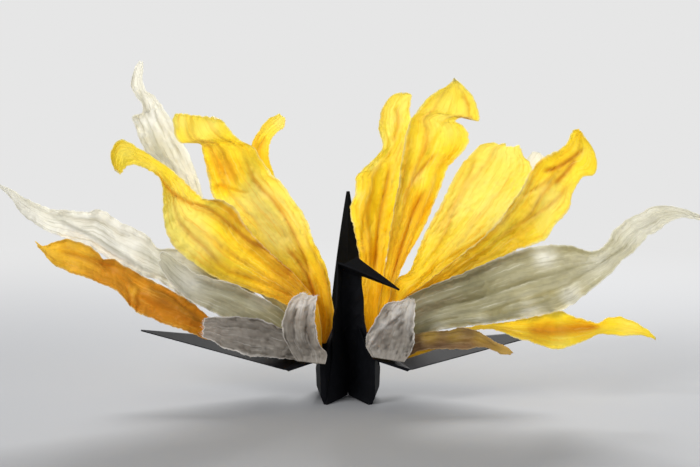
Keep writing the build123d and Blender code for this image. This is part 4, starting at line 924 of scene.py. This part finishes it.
fraying, fibrePetal = fibreTree(), fibreMaterial()
for name, (spots, down, sideways) in tornEnds.items():
    top = int(len(spots) * fibreSet["sideFrom"])
    lines = {"Tip": (spots[-1], down[-1], fibreSet["spacing"], fibreSet["length"])}
    for side, column, sign in (("Left", 0, -1), ("Right", -1, 1)):
        lines[side] = (spots[top:, column], sign * sideways[top:, column], fibreSet["sideSpacing"],
                       fibreSet["sideLength"])
    for part, (line, outward, spacing, length) in lines.items():
        edge = frayedEdge(name + "Fibres" + part, line - outward * fibreSet["root"], outward)
        modifier = edge.modifiers.new("fraying", "NODES")
        modifier.node_group = fraying
        # each line of fibres has a seed of its own, from the length of its name
        wanted = {"Spacing": spacing * mm, "Length": length * mm, "Radius": fibreSet["radius"] * mm,
                  "Stray": fibreSet["stray"], "Seed": fibreSet["seed"] + len(part), "Skin": fibrePetal}
        for socket in fraying.interface.items_tree:
            if socket.in_out == "INPUT" and socket.name in wanted:
                modifier[socket.identifier] = wanted[socket.name]
        bpy.context.view_layer.update()
        shape = bpy.data.meshes.new_from_object(edge.evaluated_get(bpy.context.evaluated_depsgraph_get()))
        fibres = bpy.data.objects.new(name + "Fibres" + part, shape)
        bpy.data.objects.remove(edge)
        scene.collection.objects.link(fibres)
        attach(fibres, "root")
        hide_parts(petals[name]["node"])
    print(name, "frayed")

# floor and light: a pale matt floor and soft lamps
stageSet = {
    "floor": "#A6A7A9", "roughness": 0.85, "half": 3.0,  # metres
    "seen": "#E6E6E6",  # the background's tone
    "fadeFrom": 0.13, "fadeTo": 0.45,  # metres between which the floor fades into it
    "world": 0.42, "sky": "#F4F5F8",
    # place and aim in metres, size in metres, watts
    "lamps": {
        "keyLamp": ((-0.6, -0.75, 0.6), (0, 0, 0.06), 0.4, 7.5),
        "fillLamp": ((0.85, -0.8, 0.3), (0, 0, 0.06), 0.7, 3.0),
        "backLamp": ((0.15, 0.85, 0.5), (0, 0, 0.07), 0.4, 11.0),
    },
}


def stageMaterial():
    # a matt floor that runs out into the background's own tone, so that no far edge shows
    material, tree = newMaterial("paleTable")
    place = addNode(tree, "ShaderNodeTexCoord").outputs["Object"]
    far = addNode(tree, "ShaderNodeVectorMath", {"operation": "LENGTH"}, Vector=place).outputs["Value"]
    fade = addNode(tree, "ShaderNodeMapRange", {"interpolation_type": "SMOOTHSTEP"}, Value=far,
                   From_Min=stageSet["fadeFrom"], From_Max=stageSet["fadeTo"], To_Min=0.0, To_Max=1.0)
    matt = addNode(tree, "ShaderNodeBsdfPrincipled", None, Base_Color=toLinear(stageSet["floor"]),
                   Roughness=stageSet["roughness"])
    tone = addNode(tree, "ShaderNodeEmission", None, Color=toLinear(stageSet["seen"]), Strength=1.0)
    both = addNode(tree, "ShaderNodeMixShader", None, Fac=fade.outputs["Result"], at1=matt.outputs["BSDF"],
                   at2=tone.outputs["Emission"])
    addNode(tree, "ShaderNodeOutputMaterial", None, Surface=both.outputs["Shader"])
    return material


half = stageSet["half"]
floorMesh = bpy.data.meshes.new("table")
corners = [(-half, -half, 0), (half, -half, 0), (half, half, 0), (-half, half, 0)]
floorMesh.from_pydata(corners, [], [(0, 1, 2, 3)])
floorMesh.materials.append(stageMaterial())
floor = bpy.data.objects.new("table", floorMesh)
scene.collection.objects.link(floor)

world = bpy.data.worlds.new("studio")
scene.world = world
world.use_nodes = True
tree = world.node_tree
tree.nodes.clear()
sky = addNode(tree, "ShaderNodeBackground", None, Color=toLinear(stageSet["sky"]), Strength=stageSet["world"])
seen = addNode(tree, "ShaderNodeBackground", None, Color=toLinear(stageSet["seen"]), Strength=1.0)
rays = addNode(tree, "ShaderNodeLightPath").outputs
choice = addNode(tree, "ShaderNodeMixShader", None, Fac=rays["Is Camera Ray"],
                 at1=sky.outputs["Background"], at2=seen.outputs["Background"])
addNode(tree, "ShaderNodeOutputWorld", None, Surface=choice.outputs["Shader"])

for name, (place, aim, size, watts) in stageSet["lamps"].items():
    data = bpy.data.lights.new(name, "AREA")
    data.shape, data.size, data.energy = "DISK", size, watts
    lamp = bpy.data.objects.new(name, data)
    scene.collection.objects.link(lamp)
    lamp.location = place
    lamp.rotation_euler = (Vector(aim) - Vector(place)).to_track_quat("-Z", "Y").to_euler()
print("light ready")
